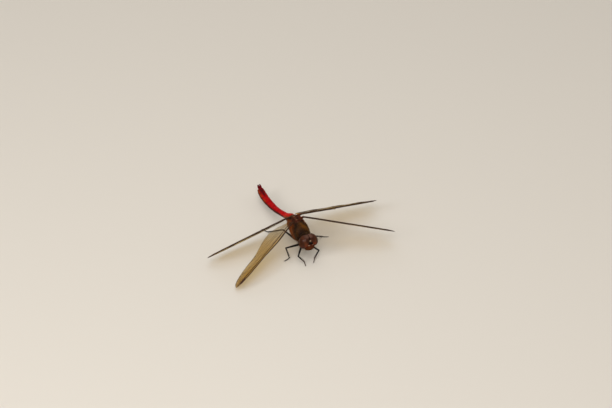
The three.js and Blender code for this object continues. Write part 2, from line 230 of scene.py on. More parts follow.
def thorax_barrel():
    """The thorax as one leaning barrel, with a hollow along its back where the wings stand."""
    y = np.linspace(*THORAX_ENDS, 90)
    saddle = SADDLE_DEPTH * step(-0.4, 0.5, y) * step(4.9, 4.1, y)
    top, belly = thorax_top(y) - COAT_DEPTH - saddle, thorax_belly(y) + COAT_DEPTH
    middles = leaned(np.stack([0 * y, y, (top + belly) / 2], axis=1))
    across = np.outer(THORAX_HALF_WIDTH * thorax_side(y) - COAT_DEPTH, lean_left)
    up = np.outer((top - belly) / 2, lean_up)
    return rod(middles, across, up, 96, fullness=2.7, narrow=0.03)


def leaned_bulb(middle, radii):
    """A ball that leans with the thorax."""
    points, faces = bulb(middle, radii)
    return leaned(points), faces


# The plates on the back, between and beside the wing roots: each one's middle and three radii.
BACK_PLATES = [
    ((0, 0.02, 10.02), (0.6, 0.4, 0.46)),
    ((0, 1.02, 10.3), (0.82, 0.66, 0.48)),
    ((0, 1.96, 10.36), (0.62, 0.34, 0.38)),
    ((0, 2.86, 10.26), (0.8, 0.64, 0.48)),
    ((0, 3.84, 9.92), (0.62, 0.42, 0.46)),
]
for side in SIDES.values():
    BACK_PLATES += [
        ((1.42 * side, 0.38, 9.88), (0.66, 0.5, 0.5)),
        ((1.5 * side, 1.38, 9.95), (0.74, 0.58, 0.54)),
        ((1.42 * side, 2.4, 9.92), (0.66, 0.5, 0.52)),
        ((1.46 * side, 3.4, 9.78), (0.7, 0.58, 0.54)),
    ]
back_plates = [leaned_bulb(*plate) for plate in BACK_PLATES]

# Where each wing's root and tip are, how many degrees its front edge is turned up, and how many of
# those degrees a twist takes away again at its root.
WING_SPANS = {
    "fore_wing_left": ((2.05, 1.35, 10.75), (27.95, -11.9, 5.1), 33, 0),
    "fore_wing_right": ((-2.0, 1.4, 10.2), (-27.25, -11.2, 1.7), 30, 22),
    "hind_wing_left": ((2.0, 3.3, 10.5), (30.2, 5.4, 5.0), 33, 0),
    "hind_wing_right": ((-2.0, 3.6, 10.3), (-30.0, 4.0, 3.7), 46, 0),
}


def wing_axes(base, tip, pitch, twist, share=0.0):
    """A wing's root, and its directions out along it, forward across it and up from its face.

    share says where along the wing: towards the root a twist takes some of the pitch away."""
    along = unit(np.subtract(tip, base))
    forward = unit(np.array((0, -1, 0)) + along * along[1])
    above = np.cross(forward, along)
    above = above * np.sign(above[2])
    angle = np.radians(pitch - twist * step(0.55, 0.2, share))
    chord = np.multiply.outer(np.cos(angle), forward) + np.multiply.outer(np.sin(angle), above)
    face = np.cross(chord, along)
    return np.array(base), along, chord, face * np.sign(face[..., 2:])


# Each wing is carried by three stout hinge arms that grow out of the side of the back.
hinge_arms = []
for name, span in WING_SPANS.items():
    base, along, chord, face = wing_axes(*span)
    inward = np.array((-0.8 if base[0] > 0 else 0.8, 0, -0.6))
    rear = -0.5 if "fore" in name else -1.1
    for across, high, sizes in ((0.42, 0, (0.3, 0.22, 0.11)), (-0.05, 0.05, (0.4, 0.28, 0.12)),
                                (rear, -0.04, (0.36, 0.22, 0.08))):
        spot = base + chord * across + face * high
        line = [spot + inward, spot - along * 0.12 - face * 0.04, spot + along * 0.55]
        hinge_arms.append(limb(line, sizes))

# The back of the head, the brow knob, the frons, the clypeus and the two lips.
head_parts = [
    bulb(HEAD + (0, 0.35, -0.15), (2.4, 1.5, 1.95)),
    bulb(HEAD + (0, -0.98, 0.86), (0.5, 0.42, 0.56)),
    bulb(HEAD + (0, -1.1, -0.05), (1.25, 0.92, 0.72)),
    bulb(HEAD + (0, -0.95, -0.95), (1.7, 0.95, 0.73)),
    bulb(HEAD + (0, -0.85, -1.75), (1.65, 0.96, 0.76)),
    bulb(HEAD + (0, -0.2, -2.1), (1.6, 1.15, 0.7)),
]

# The neck widens into a collar before the thorax, with an upright lobe on its back.
collar = rod(
    [HEAD + (0, 1.5, -0.1), (0, -4.85, 6.85), (0, -4.45, 6.8), (0, -3.9, 6.75), (0, -3.2, 6.8)],
    np.outer((0.7, 0.8, 1.28, 1.42, 1.3), (1, 0, 0)),
    np.outer((0.7, 0.9, 1.42, 1.68, 1.5), (0, 0, 1)),
    fullness=2.2,
)
collar_lobe = bulb((0, -4.22, 8.12), (0.8, 0.16, 0.42))

# Where each pair's left hip leaves the thorax, and where its thigh hangs.
HIPS = {
    "front": ((0.6, -3.4, 5.2), (1.1, -3.85, 4.2)),
    "middle": ((0.7, -1.9, 4.8), (1.3, -2.4, 3.5)),
    "hind": ((0.75, 0.1, 4.9), (1.35, 0.3, 3.8)),
}
hip_pieces = []
for root, hip in HIPS.values():
    for side in SIDES.values():
        start, end = (np.array(spot) * (side, 1, 1) for spot in (root, hip))
        start = start + (start - end) * 0.5
        hip_pieces.append(limb([start, start * 0.5 + end * 0.5, end], [0.6, 0.53, 0.34]))

# The abdomen's backbone falls from the thorax, runs level and lifts a little at the tip. It bends
# slightly to the insect's right and back again.
RING_LENGTHS = np.array((0.9, 1.9, 3.4, 3.6, 3.7, 3.6, 3.3, 2.2, 1.6, 1.0))
ring_joints = np.concatenate([[0], np.cumsum(RING_LENGTHS)])
backbone = through((4.4, 8.45), (7.0, 7.45), (11.2, 5.85), (15.3, 4.6), (19.2, 3.92), (23.6, 3.62),
                   (27.4, 3.86), (30.2, 4.45))
sideways_bend = through((4.4, 0), (7.0, 0), (11.2, -0.05), (15.3, -0.2), (19.2, -0.3), (23.6, -0.28),
                        (27.4, -0.02), (30.2, 0.38))
spine_y = np.linspace(4.4, 29.4, 600)
spine = np.stack([sideways_bend(spine_y), spine_y, backbone(spine_y)], axis=1)
spine_reach = np.concatenate([[0], np.cumsum(np.linalg.norm(np.diff(spine, axis=0), axis=1))])
ring_wide = through((0, 0.9), (0.9, 1.02), (2, 1.06), (2.8, 1), (4.6, 0.79), (8, 0.74), (13.5, 0.84),
                    (17.1, 0.94), (20.4, 1), (22.6, 0.99), (24.2, 0.91), (25.2, 0.76))
ring_high = through((0, 0.86), (0.9, 1), (2, 1.04), (2.8, 0.98), (4.6, 0.74), (8, 0.66), (13.5, 0.64),
                    (17.1, 0.64), (20.4, 0.64), (22.6, 0.61), (24.2, 0.56), (25.2, 0.48))


def spine_at(reach):
    """The backbone's place, direction and upward direction at a distance along it."""
    place, ahead, behind = (
        np.stack([np.interp(reach + more, spine_reach, axis) for axis in spine.T], axis=-1)
        for more in (0, 0.05, -0.05))
    along = unit(ahead - behind)
    return place, along, np.cross((1, 0, 0), along)


def joint_gap(reach):
    """How far the nearest joint between two rings is."""
    return np.abs(np.asarray(reach)[..., None] - ring_joints[1:-1]).min(axis=-1)


def abdomen_tube():
    """The abdomen along its backbone, a little narrower at each joint and closed at its end."""
    reach = np.linspace(-0.1, ring_joints[-1], 460)
    place, _, up = spine_at(np.clip(reach, 0.06, None))
    bulge = 1 - 0.05 * np.exp(-((joint_gap(reach) / 0.3) ** 2))
    tail_end = np.sqrt(np.clip((ring_joints[-1] + 0.02 - reach) / 0.35, 0, 1))
    size = WIDEST_RING * bulge * tail_end
    across = np.outer(ring_wide(reach) * size - 0.02, (1, 0, 0))
    return rod(place, across, up * (ring_high(reach) * size - 0.02)[:, None], 96, 2.3, 0.06)


body_forms = [thorax_barrel(), collar, collar_lobe, abdomen_tube()]
body_forms += back_plates + hinge_arms + head_parts + hip_pieces
skin_points, skin_faces = welded(body_forms, SKIN_CELL, rounds=8)


def line_at(distance, width):
    """1 on a line and 0 past its width, for a distance from it."""
    return np.exp(-((distance / width) ** 2))


def along_tail(points):
    """Each point's distance along the backbone, its angle from the top and its side."""
    reach = np.interp(points[:, 1], spine_y, spine_reach)
    for _ in range(3):
        place, along, up = spine_at(reach)
        reach = np.clip(reach + ((points - place) * along).sum(axis=1), 0, ring_joints[-1])
    arm = points - place
    angle = np.degrees(np.arctan2(abs(arm[:, 0]), (arm * up).sum(axis=1)))
    return reach, angle


# The seams down each side of the thorax: how far back each one lies at each height. They slope, so
# a gap measured straight back is SEAM_SLANT times as wide across the seam.
SEAM_SLANT = 0.85
front_seam = through((4.6, -2.35), (7.0, -2.1), (8.67, -1.55), (9.9, -0.8), (10.5, 0.15), (11.2, 1.0))
middle_seam = through((4.6, -1.15), (6.0, -0.75), (7.4, -0.25), (9.0, 0.6), (10.3, 1.75))
rear_seam = through((4.6, -0.1), (6.0, 0.45), (7.0, 0.85), (8.0, 1.35), (9.0, 1.95), (10.2, 2.9))


def regions(points):
    """How far each point belongs to the head, to a hip and to the abdomen, from 0 to 1."""
    head = points - HEAD
    inside = np.linalg.norm((head - (0, 0.2, -0.25)) / (2.62, 1.78, 2.4), axis=1)
    front = step(-4.55, -4.75, points[:, 1])
    at_head = np.maximum(step(1.03, 0.97, inside), front) * step(-4.3, -4.4, points[:, 1])
    upper = thorax_belly(points[:, 1])
    at_hip = step(upper - 0.02, upper - 0.2, points[:, 2]) * step(1.4, 1.2, points[:, 1])
    at_hip *= (1 - at_head) * step(-4.6, -4.5, points[:, 1])
    at_tail = step(4.72, 4.92, points[:, 1])
    return at_head, at_hip, at_tail


def seam_depth(points):
    """How far the skin is pressed in at each point, in millimetres. Keels stand out."""
    at_head, at_hip, at_tail = regions(points)
    x, y, z = upright(points).T
    reach, angle = along_tail(points)
    face = points - HEAD
    ring = 0.07 * line_at(joint_gap(reach), 0.075) * step(0.4, 0.9, reach)
    ring -= 0.045 * line_at(angle - 118, 5) * step(2, 3.4, reach)
    ring -= 0.035 * line_at(angle, 5) * step(2.4, 3.4, reach)
    ring += 0.05 * line_at(angle - 150, 9) * step(1, 3, reach)
    side = step(0.9, 1.3, abs(x)) * step(10.75, 10.4, z)
    seams = 0.1 * line_at((y - front_seam(z)) * SEAM_SLANT, 0.13)
    seams += 0.06 * line_at((y - middle_seam(z)) * SEAM_SLANT, 0.1) * (1 - 0.8 * step(7.2, 7.8, z))
    seams += 0.08 * line_at((y - rear_seam(z)) * SEAM_SLANT, 0.11)
    chest = seams * side - 0.1 * line_at(x, 0.1) * step(0.0, -0.3, y) * step(8.0, 8.4, z)
    chest += 0.05 * line_at(x, 0.12) * step(4.9, 4.6, z)
    front = step(-0.6, -0.9, face[:, 1])
    plates = sum(0.07 * line_at(face[:, 2] - level, 0.08) for level in (-0.45, -1.25, -2.0))
    plates += 0.06 * line_at(face[:, 0], 0.14) * step(-0.4, -0.1, face[:, 2]) * step(0.5, 0.3, face[:, 2])
    plates += 0.05 * line_at(face[:, 0], 0.07) * step(-2.1, -2.3, face[:, 2])
    chest = chest * (1 - at_head) * (1 - at_hip) * (1 - at_tail)
    return chest + ring * at_tail + plates * front * at_head


def shade(red, green, blue):
    """A colour from 0 to 255 in each part, as light that adds up evenly."""
    part = np.array((red, green, blue)) / 255
    return np.where(part <= 0.04045, part / 12.92, ((part + 0.055) / 1.055) ** 2.4)


def painted(points, base, *layers):
    """A base colour under layers, each a colour and how much of it lies at each point."""
    colour = base + np.zeros((len(points), 3))
    for over, amount in layers:
        amount = np.clip(amount, 0, 1)[:, None]
        colour = colour * (1 - amount) + over * amount
    return colour


RED, DEEP_RED, BLACK = shade(194, 0, 3), shade(84, 0, 6), shade(12, 8, 6)
BACK_BROWN, FLANK_BROWN, RUST = shade(28, 12, 8), shade(142, 64, 8), shade(120, 54, 12)
PALE_PANEL, WING_ROOT_BROWN, PAINTED_PLATE_HIGHLIGHT = shade(140, 92, 52), shade(66, 26, 14), shade(170, 132, 92)
GOLD_BROWN = shade(112, 66, 16)
FACE_BROWN, LIP_BROWN, PALE_AND_HIGHLIGHT = shade(78, 28, 6), shade(78, 36, 8), shade(190, 158, 130)


def thorax_colours(points):
    """Brown with a dark back, gold and pale stripes, and black seams down each flank; painted light on the
    gold, the back plates and their gaps.
    """
    x, y, z = upright(points).T
    out = abs(x)
    flank = step(0.5, 0.9, out)
    past_front = (y - front_seam(z)) * SEAM_SLANT
    past_middle, past_rear = y - middle_seam(z), y - rear_seam(z)
    # A gold stripe before each front seam, painted much brighter on the insect's left as light falling on
    # that side.
    stripe_and_lit_side = (0.25 + 0.55 * step(-0.4, 0.8, x)) * line_at(past_front + 0.7, 0.42)
    top = step(-0.3, 0.1, y) * step(9.6, 9.8, z + 0.25 * step(1.2, 1.8, out))
    plate = np.min([np.hypot((x - middle[0]) / radii[0], (y - middle[1]) / radii[1])
                    for middle, radii in BACK_PLATES], axis=0)
    spot = np.hypot((y - 0.12) / 0.3, (z - 6.55) / 0.16)
    return painted(
        points,
        FLANK_BROWN,
        (BACK_BROWN, step(0.1, -0.1, past_front) * step(5.4, 6.4, z)),
        (GOLD_BROWN, stripe_and_lit_side * step(7.0, 8.2, z)),
        (BACK_BROWN, 0.7 * step(1.2, 0.9, past_front) * step(0.1, 0.3, past_front) * step(6.6, 7.8, z)),
        (PALE_PANEL, 0.6 * line_at(past_middle + 0.25, 0.22) * step(10.2, 9.6, z) * step(5.2, 6.0, z)),
        (PALE_PANEL, 0.4 * step(0.5, 1.0, past_rear) * step(10.0, 9.2, z)),
        (WING_ROOT_BROWN, top),
        (RUST, 0.7 * top * step(1.5, 2.0, out)),
        # Painted highlights: pale cream on the middles of the back plates.
        (PAINTED_PLATE_HIGHLIGHT, 0.3 * top * step(0.6, 0.1, plate) * step(1.2, 0.4, out)),
        # Black joints between the back plates, darkened further by painted shade in the gaps.
        (BLACK, 0.8 * top * step(0.94, 1.1, plate) * step(2.0, 1.7, out)),
        (BLACK, 0.97 * line_at(past_front - 0.04, 0.44) * flank),
        (BLACK, 0.9 * line_at(past_middle * SEAM_SLANT, 0.12) * step(7.9, 7.3, z) * flank),
        (BLACK, 0.92 * line_at(past_rear * SEAM_SLANT, 0.13) * flank),
        (BLACK, step(1.2, 0.8, spot) * step(1.0, 1.6, out)),
        (BLACK, 0.75 * step(4.9, 4.3, z) * step(1.6, 1.0, out)),
        (BLACK, 0.5 * step(-3.3, -3.9, y) * step(7.6, 6.6, z)),
    )


def tail_colours(points):
    """Red rings, darker down the flanks partly as painted shade, with black side marks, joints and a dash
    on the last few, and a painted orange sheen on the sides of the last rings.
    """
    reach, angle = along_tail(points)
    ring = np.clip(np.searchsorted(ring_joints, reach), 1, 10)
    past, left = reach - ring_joints[ring - 1], ring_joints[ring] - reach
    comma = line_at(angle - 92, 12) * line_at(left - 0.5, 0.36) * step(3, 4, reach)
    # A painted sheen: lighter orange at the middle of each ring's side on the last rings.
    painted_sheen = line_at(angle - 66, 16) * line_at(past - 0.5 * (past + left), 0.8) * step(15, 17, reach)
    dash = line_at(angle, 24) * step(20.2, 20.4, reach) * step(24.2, 23.4, reach)
    return painted(
        points,
        RED,
        (DEEP_RED, 0.38 * step(3.5, 8, reach)),
        # The lower flanks darkened: partly dark cuticle, partly painted shade where the sides turn away
        # from the light.
        (shade(44, 8, 8), 0.9 * step(52, 88, angle) * step(5, 9, reach)),
        (RUST, 0.5 * step(84, 104, angle)),
        (RUST, 0.9 * step(40, 66, angle) * step(5.2, 3.4, reach)),
        (BACK_BROWN, 0.7 * step(1.2, 0.5, reach)),
        (BLACK, 0.9 * line_at(angle - 108, 15) * step(1, 3, reach)),
        (BLACK, 0.8 * line_at(angle - 180, 20) * step(1, 3, reach)),
        (DEEP_RED, 0.7 * line_at(left, 0.3) * step(2, 3, reach)),
        (shade(70, 0, 8), 0.75 * step(20.5, 23.5, reach)),
        (BLACK, 0.75 * line_at(joint_gap(reach), 0.06) * step(0.6, 0.9, reach)),
        (BLACK, 0.85 * comma),
        (shade(150, 62, 12), 0.7 * painted_sheen),
        (BLACK, 0.85 * dash * step(0.15, 0.4, past) * step(0.1, 0.3, left)),
    )


def face_colours(points):
    """Red-brown plates, a black brow with a pale knob, and two pale spots under it; the knob and the spots
    are partly painted highlights.
    """
    x, y, z = (points - HEAD).T
    wide = abs(x)
    front = step(-0.5, -0.8, y)
    knob = np.hypot((x - 0.12) / 0.36, (z - 1.05) / 0.3)
    spot = np.hypot((wide - 0.72) / 0.34, (z + 0.16) / 0.22)
    return painted(
        points,
        FACE_BROWN,
        (LIP_BROWN, step(-1.1, -1.4, z)),
        (BLACK, 0.97 * step(0.1, 0.24, z - 0.12 * wide) * front),
        # The pale knob: partly pale cuticle, partly a painted highlight.
        (PALE_AND_HIGHLIGHT, 0.75 * step(1.4, 0.3, knob) * front),
        (RUST, 0.5 * line_at(z + 0.95, 0.14) * step(1.1, 0.5, wide)),
        # The two pale spots under the brow: partly pale cuticle, partly painted highlights.
        (PALE_AND_HIGHLIGHT, 0.75 * step(1.4, 0.3, spot)),
        (BLACK, 0.7 * line_at(z + 2.0, 0.09) * step(-0.5, -0.9, y)),
        (BLACK, 0.7 * line_at(x, 0.16) * step(-2.05, -2.25, z)),
        (BLACK, 0.85 * step(0.5, 1.0, y) * step(1.9, 1.5, wide + 0.3 * abs(z))),
    )


def markings(points):
    """The insect's colour at each point of its skin and coat."""
    at_head, at_hip, at_tail = regions(points)
    return painted(
        points,
        thorax_colours(points),
        (BLACK, 0.92 * at_hip),
        (tail_colours(points), at_tail),
        (face_colours(points), at_head),
    )


def outward_of(points, corners):
    """The way that each four-sided face looks, as long as twice its area."""
    a, b, c, d = (points[corners[:, i]] for i in range(4))
    return np.cross(c - a, d - b)


def vertex_normals(points, faces):
    """Outward directions at the corners of a net of four-sided faces."""
    corners = np.array(faces)
    facing = outward_of(points, corners)
    total = np.zeros_like(points)
    for i in range(4):
        np.add.at(total, corners[:, i], facing)
    return unit(total + 1e-12)


skin_points = skin_points - vertex_normals(skin_points, skin_faces) * seam_depth(skin_points)[:, None]


def finish_nodes(name):
    """An empty finish, with a short way to add and join its nodes.

    A node given as an input stands for its first output."""
    finish = bpy.data.materials.new(name)
    finish.use_nodes = True
    tree = finish.node_tree
    tree.nodes.clear()

    def add(kind, inputs=(), **settings):
        node = tree.nodes.new("ShaderNode" + kind)
        for key, value in settings.items():
            setattr(node, key, value)
        for key, value in dict(inputs).items():
            if isinstance(value, bpy.types.Node):
                value = value.outputs[0]
            if isinstance(value, bpy.types.NodeSocket):
                tree.links.new(value, node.inputs[key])
            else:
                node.inputs[key].default_value = value
        return node

    return finish, add


def clouded(add, colour, cloud, darkest, lightest, low=0.3, high=0.7):
    """A colour that a soft cloud makes darker and lighter."""
    light = add("MapRange", {"Value": cloud, "From Min": low, "From Max": high, "To Min": darkest,
                             "To Max": lightest})
    return add("VectorMath", {0: colour, 1: light}, operation="MULTIPLY")


def cuticle(name, roughness=0.45, grain=9000, dent=0.35, shine=0.05):
    """Insect cuticle: the marked colour, cloudy and finely pitted, with a waxy gloss."""
    finish, add = finish_nodes(name)
    marks = add("Attribute", attribute_name="markings")
    spot = add("TexCoord").outputs["Object"]
    cloud = add("TexNoise", {"Vector": spot, "Scale": 1300, "Detail": 5, "Roughness": 0.65})
    cloudy = clouded(add, marks, cloud, 0.72, 1.22)
    pits = add("TexVoronoi", {"Vector": spot, "Scale": grain})
    rough = add("MapRange", {"Value": cloud, "To Min": roughness - 0.1, "To Max": roughness + 0.12})
    soft = add("Bump", {"Height": cloud, "Strength": 0.5, "Distance": 0.00006})
    fine = add("Bump", {"Height": pits, "Strength": dent, "Distance": 0.00003, "Normal": soft})
    skin = add("BsdfPrincipled", {"Base Color": cloudy, "Roughness": rough, "Normal": fine,
                                  "Specular IOR Level": shine})
    add("OutputMaterial", {"Surface": skin})
    return finish


body_nodes = ["head", "frons", "clypeus", "labrum", "labium", "prothorax", "thorax"]
body_nodes += [f"abdomen_{i}" for i in range(1, 11)]
body_nodes += [f"{pair}_{side}_coxa" for pair in HIPS for side in SIDES]
new_piece("body_shell", skin_points, skin_faces, cuticle("body_cuticle"), "thorax", body_nodes,
          markings(skin_points))

# ---------------------------------------------------------------- eyes
# Each compound eye is half of a great faceted ball that wraps its side of the head. The two meet in
# a short seam on top. They are dark red-brown above, with painted shade and a painted sky reflection
# there, and a paler olive-amber below.
EYE_OUT, EYE_RADII, EYE_LEAN = 1.52, (1.58, 1.9, 2.12), 0.2
SEAM_FULLNESS = 9


def eye_ball(side):
    """An eye whose inner side is round by the face, and fills out to a narrow seam on top."""
    points, faces = bulb((0, 0, 0), (1, 1, 1), 0, 128, 96)
    out, deep, high = points.T
    turn = np.degrees(np.arctan2(deep, high))
    meeting = step(-62, -12, turn) * step(125, 85, turn)
    reach = np.clip(np.hypot(deep, high), 0, 1)
    full = (1 - reach**SEAM_FULLNESS) ** (1 / SEAM_FULLNESS)
    inner = out < 0
    out = np.where(inner, -(np.sqrt(1 - reach**2) * (1 - meeting) + full * meeting), out)
    lean = EYE_LEAN * high * EYE_RADII[2] * np.where(inner, 1 + out * meeting, 1)
    across = np.maximum(EYE_OUT + out * EYE_RADII[0] - lean, 0.02)
    points = np.stack([across * side, deep * EYE_RADII[1], high * EYE_RADII[2]], axis=1)
    if side < 0:
        faces = [face[::-1] for face in faces]
    return points + HEAD + EYES_FROM_HEAD, faces


def eye_colours(points):
    """Dark red-brown on top with painted shade there, orange and then olive lower down, with a dark rim, a
    dark seam and a painted sky reflection on top.
    """
    x, deep, high = (points - HEAD).T
    out = abs(x)
    level = high + 0.25 * out + 0.15 * deep
    return painted(
        points,
        shade(92, 46, 20),
        # Painted shade: the tops of the eyes darkened over their own red-brown.
        (shade(60, 30, 20), 0.65 * step(0.7, 1.7, high)),
        (shade(112, 40, 2), step(1.0, 0.1, level)),
        (shade(60, 20, 2), 0.85 * line_at(level + 0.55, 0.4)),
        (shade(112, 72, 22), step(-0.7, -1.4, level)),
        # Painted shade on the inner tops of the eyes.
        (shade(44, 20, 12), 0.7 * step(2.0, 1.0, out) * step(0.2, 1.2, high)),
        # A painted reflection of the sky: a pale pinkish patch on top near the seam.
        (shade(124, 86, 70), 0.4 * step(1.9, 2.4, high) * step(1.6, 0.6, out)),
        (shade(44, 18, 8), 0.8 * step(2.1, 2.9, out + 0.3 * abs(deep))),
        (shade(34, 14, 10), 0.8 * step(0.16, 0.03, out) * step(0.6, 1.0, high)),
    )


def eye_finish():
    """A smooth glaze over fine facets."""
    finish, add = finish_nodes("eye_facets")
    marks = add("Attribute", attribute_name="markings")
    spot = add("TexCoord").outputs["Object"]
    cells = add("TexVoronoi", {"Vector": spot, "Scale": 15000})
    cloud = add("TexNoise", {"Vector": spot, "Scale": 1800, "Detail": 3})
    cloudy = clouded(add, marks, cloud, 0.8, 1.15)
    lens = add("Bump", {"Height": cells, "Strength": 0.25, "Distance": 0.00002}, invert=True)
    glaze = add("BsdfPrincipled", {"Base Color": cloudy, "Roughness": 0.3, "Normal": lens,
                                   "Specular IOR Level": 0.08, "Coat Weight": 0.1,
                                   "Coat Roughness": 0.1})
    add("OutputMaterial", {"Surface": glaze})
    return finish


eye_glaze = eye_finish()
for name, side in SIDES.items():
    points, faces = eye_ball(side)
    new_piece(f"{name}_eye", points, faces, eye_glaze, "eyes", [f"eye_{name}"], eye_colours(points))

# ---------------------------------------------------------------- claspers
# A male's three hooks at the abdomen's end: an upper pair that bends together at the points, and a
# single shorter one under it. They are the same hard cuticle as the rings, darker at the points.
tail_place, tail_along, tail_up = spine_at(ring_joints[-1])
CLASPER_POINTS = {
    "cercus_left": ([(0.36, -0.15, 0.14), (0.38, 0.35, 0.2), (0.36, 0.85, 0.25), (0.3, 1.25, 0.3),
                     (0.18, 1.55, 0.38)], (0.3, 0.32, 0.31, 0.24, 0.04)),
    "epiproct": ([(0, -0.15, -0.18), (0, 0.45, -0.19), (0, 0.85, -0.1), (0, 1.1, 0.03)],
                 (0.3, 0.3, 0.22, 0.04)),
}
CLASPER_POINTS["cercus_right"] = CLASPER_POINTS["cercus_left"]
clasper_cuticle = cuticle("clasper_cuticle", grain=12000)
for name, (spots, radii) in CLASPER_POINTS.items():
    side = -1 if name.endswith("right") else 1
    line = [tail_place + np.array((x * side, 0, 0)) + tail_along * a + tail_up * h for x, a, h in spots]
    points, faces = limb(line, radii, around=24, steps=8)
    dark = step(0.7, 1.5, (points - tail_place) @ tail_along)
    colours = painted(points, shade(92, 4, 10), (shade(40, 8, 8), dark))
    new_piece(f"{name}_hook", points, faces, clasper_cuticle, "abdomen", [name], colours)

# ---------------------------------------------------------------- legs
# Six jointed legs of black cuticle: a thigh, a shin, a foot of three short lengths and two hooked
# claws, with a thin ochre line down the outer side. They hang from the hips.
THIGH_RADII = (0.26, 0.34, 0.32, 0.24, 0.22)
SHIN_RADII = (0.19, 0.21, 0.19, 0.16, 0.18)
KNEE_RADIUS = 0.22
ANKLE_HEIGHT = 0.4
FOOT_RADIUS = 0.13
CLAW_LENGTH = 0.42
leg_bones = {}


def ends_of(node, near):
    """The middles of a straight solid's two ends, the one nearer to a point first."""
    points = np.array([corner.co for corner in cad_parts[node].data.vertices])
    points = (points - floor_spot) / MM
    middle = points.mean(axis=0)
    reach = (points - middle) @ np.linalg.svd(points - middle, full_matrices=False)[2][0]
    ends = [points[abs(reach - end) < 0.15].mean(axis=0) for end in (reach.min(), reach.max())]
    return sorted(ends, key=lambda end: np.linalg.norm(end - near))


def leg_colours(points, line, out, lighter):
    """Black, with an ochre line along the side that faces out, and browner towards the foot."""
    stripe = step(0.93, 0.985, unit(points - line) @ out)
    return painted(points, shade(20, 15, 13), (shade(74, 42, 22), lighter),
                   (shade(128, 92, 44), 0.75 * stripe))


def stations(start, end, shares):
    """Places at shares of the way from start to end."""
    return [start + (end - start) * share for share in shares]


leg_cuticle = cuticle("leg_cuticle", roughness=0.38, grain=14000, dent=0.2, shine=0.25)
for pair, (side_name, side) in itertools.product(HIPS, SIDES.items()):
    name = f"{pair}_{side_name}"
    hip = np.array(HIPS[pair][1]) * (side, 1, 1)
    thigh = ends_of(name + "_femur", hip)
    shin = ends_of(name + "_tibia", thigh[1])
    foot = ends_of(name + "_tarsus", shin[1])
    knee, ankle, toe = (thigh[1] + shin[0]) / 2, (shin[1] + foot[0]) / 2, foot[1]
    heading = unit((toe - ankle) * (1, 1, 0))
    ankle = ankle * (1, 1, 0) + (0, 0, ANKLE_HEIGHT)
    toe = toe * (1, 1, 0) - heading * 0.3 + (0, 0, FOOT_RADIUS + 0.02)
    ball = ankle + (toe - ankle) * 0.4
    ball[2] = FOOT_RADIUS + 0.04
    leg_bones[name] = (hip, knee, ankle, ball, toe)
    start = hip - unit(knee - hip) * 0.25
    parts = [
        limb(stations(start, knee, (0, 0.12, 0.45, 0.85, 1)), THIGH_RADII),
        bulb(knee, [KNEE_RADIUS] * 3, around=20, down=12),
        limb(stations(knee, ankle, (0, 0.1, 0.5, 0.9, 1)), SHIN_RADII),
    ]
    joints = stations(ankle, ball, (0, 0.5, 1)) + stations(ball, toe, (0.5, 1))
    for first, second in zip(joints, joints[1:]):
        parts.append(limb(stations(first, second, (0, 0.2, 0.8, 1)),
                          [FOOT_RADIUS * wide for wide in (0.8, 1.0, 1.05, 0.8)], 16, 4))
    apart = np.cross(heading, (0, 0, 1))
    for turn in (1, -1):
        spread = unit(heading + apart * 0.45 * turn)
        hook = [toe, toe + spread * 0.55 * CLAW_LENGTH + (0, 0, 0.07), toe + spread * CLAW_LENGTH]
        hook[2][2] = 0.03
        parts.append(limb(hook, (0.055, 0.04, 0.008), 10, 5))
    points, faces = joined(parts)
    line = np.empty_like(points)
    nearest = np.full(len(points), np.inf)
    for start, end in ((hip, knee), (knee, ankle), (ankle, toe)):
        share = np.clip((points - start) @ (end - start) / ((end - start) @ (end - start)), 0, 1)
        spot = start + share[:, None] * (end - start)
        gap = np.linalg.norm(points - spot, axis=1)
        line[gap < nearest] = spot[gap < nearest]
        nearest = np.minimum(gap, nearest)
    out = unit(np.cross(knee - hip, ankle - knee))
    out = out if out[1] > 0 else -out
    lighter = 0.6 * step(2.2, 0.8, points[:, 2]) * (pair == "front")
    new_piece(f"leg_{name}", points, faces, leg_cuticle, "legs",
              [f"{name}_{length}" for length in ("femur", "tibia", "tarsus")],
              leg_colours(points, line, out, lighter))

# ---------------------------------------------------------------- feelers and brow eyes
# Two short feelers of a thick base, a collar and a fine bristle, either side of the brow knob, and
# the three small glassy simple eyes round it.
for name, side in SIDES.items():
    socket = HEAD + (0.3 * side, -1.34, 0.52)
    end = HEAD + (0.5 * side, -1.05, 0.95) + 2.2 * unit((0.5 * side, -0.8, 0.33))
    ahead = unit(end - socket)
    feeler_length = np.linalg.norm(end - socket)
    base, ring = ([socket + ahead * reach for reach in reaches]
                  for reaches in ((-0.1, 0.12, 0.26), (0.24, 0.36, 0.46)))
    bristle = [socket + ahead * feeler_length * share + (0, 0, 0.12 * share * (1 - share))
               for share in (0.15, 0.4, 0.7, 1)]
    points, faces = joined([
        limb(base, (0.14, 0.15, 0.1), 20, 5),
        limb(ring, (0.08, 0.1, 0.06), 16, 5),
        limb(bristle, (0.05, 0.035, 0.022, 0.008), 12, 6),
    ])
    new_piece(f"feeler_{name}", points, faces, leg_cuticle, "legs", [f"antenna_{name}"],
              painted(points, shade(24, 18, 15)))

glassy, add = finish_nodes("brow_eye_glass")
bead = add("BsdfPrincipled", {"Base Color": (*shade(120, 72, 34), 1), "Roughness": 0.08,
                              "Coat Weight": 0.5, "Coat Roughness": 0.03})
add("OutputMaterial", {"Surface": bead})
beads = [bulb(HEAD + (0, -1.36, 0.84), (0.13, 0.08, 0.12), around=24, down=16)]
beads += [bulb(HEAD + (0.36 * side, -1.14, 1.2), (0.11, 0.1, 0.11), around=24, down=16)
          for side in SIDES.values()]
new_piece("brow_eyes", *joined(beads), glassy, "eyes")

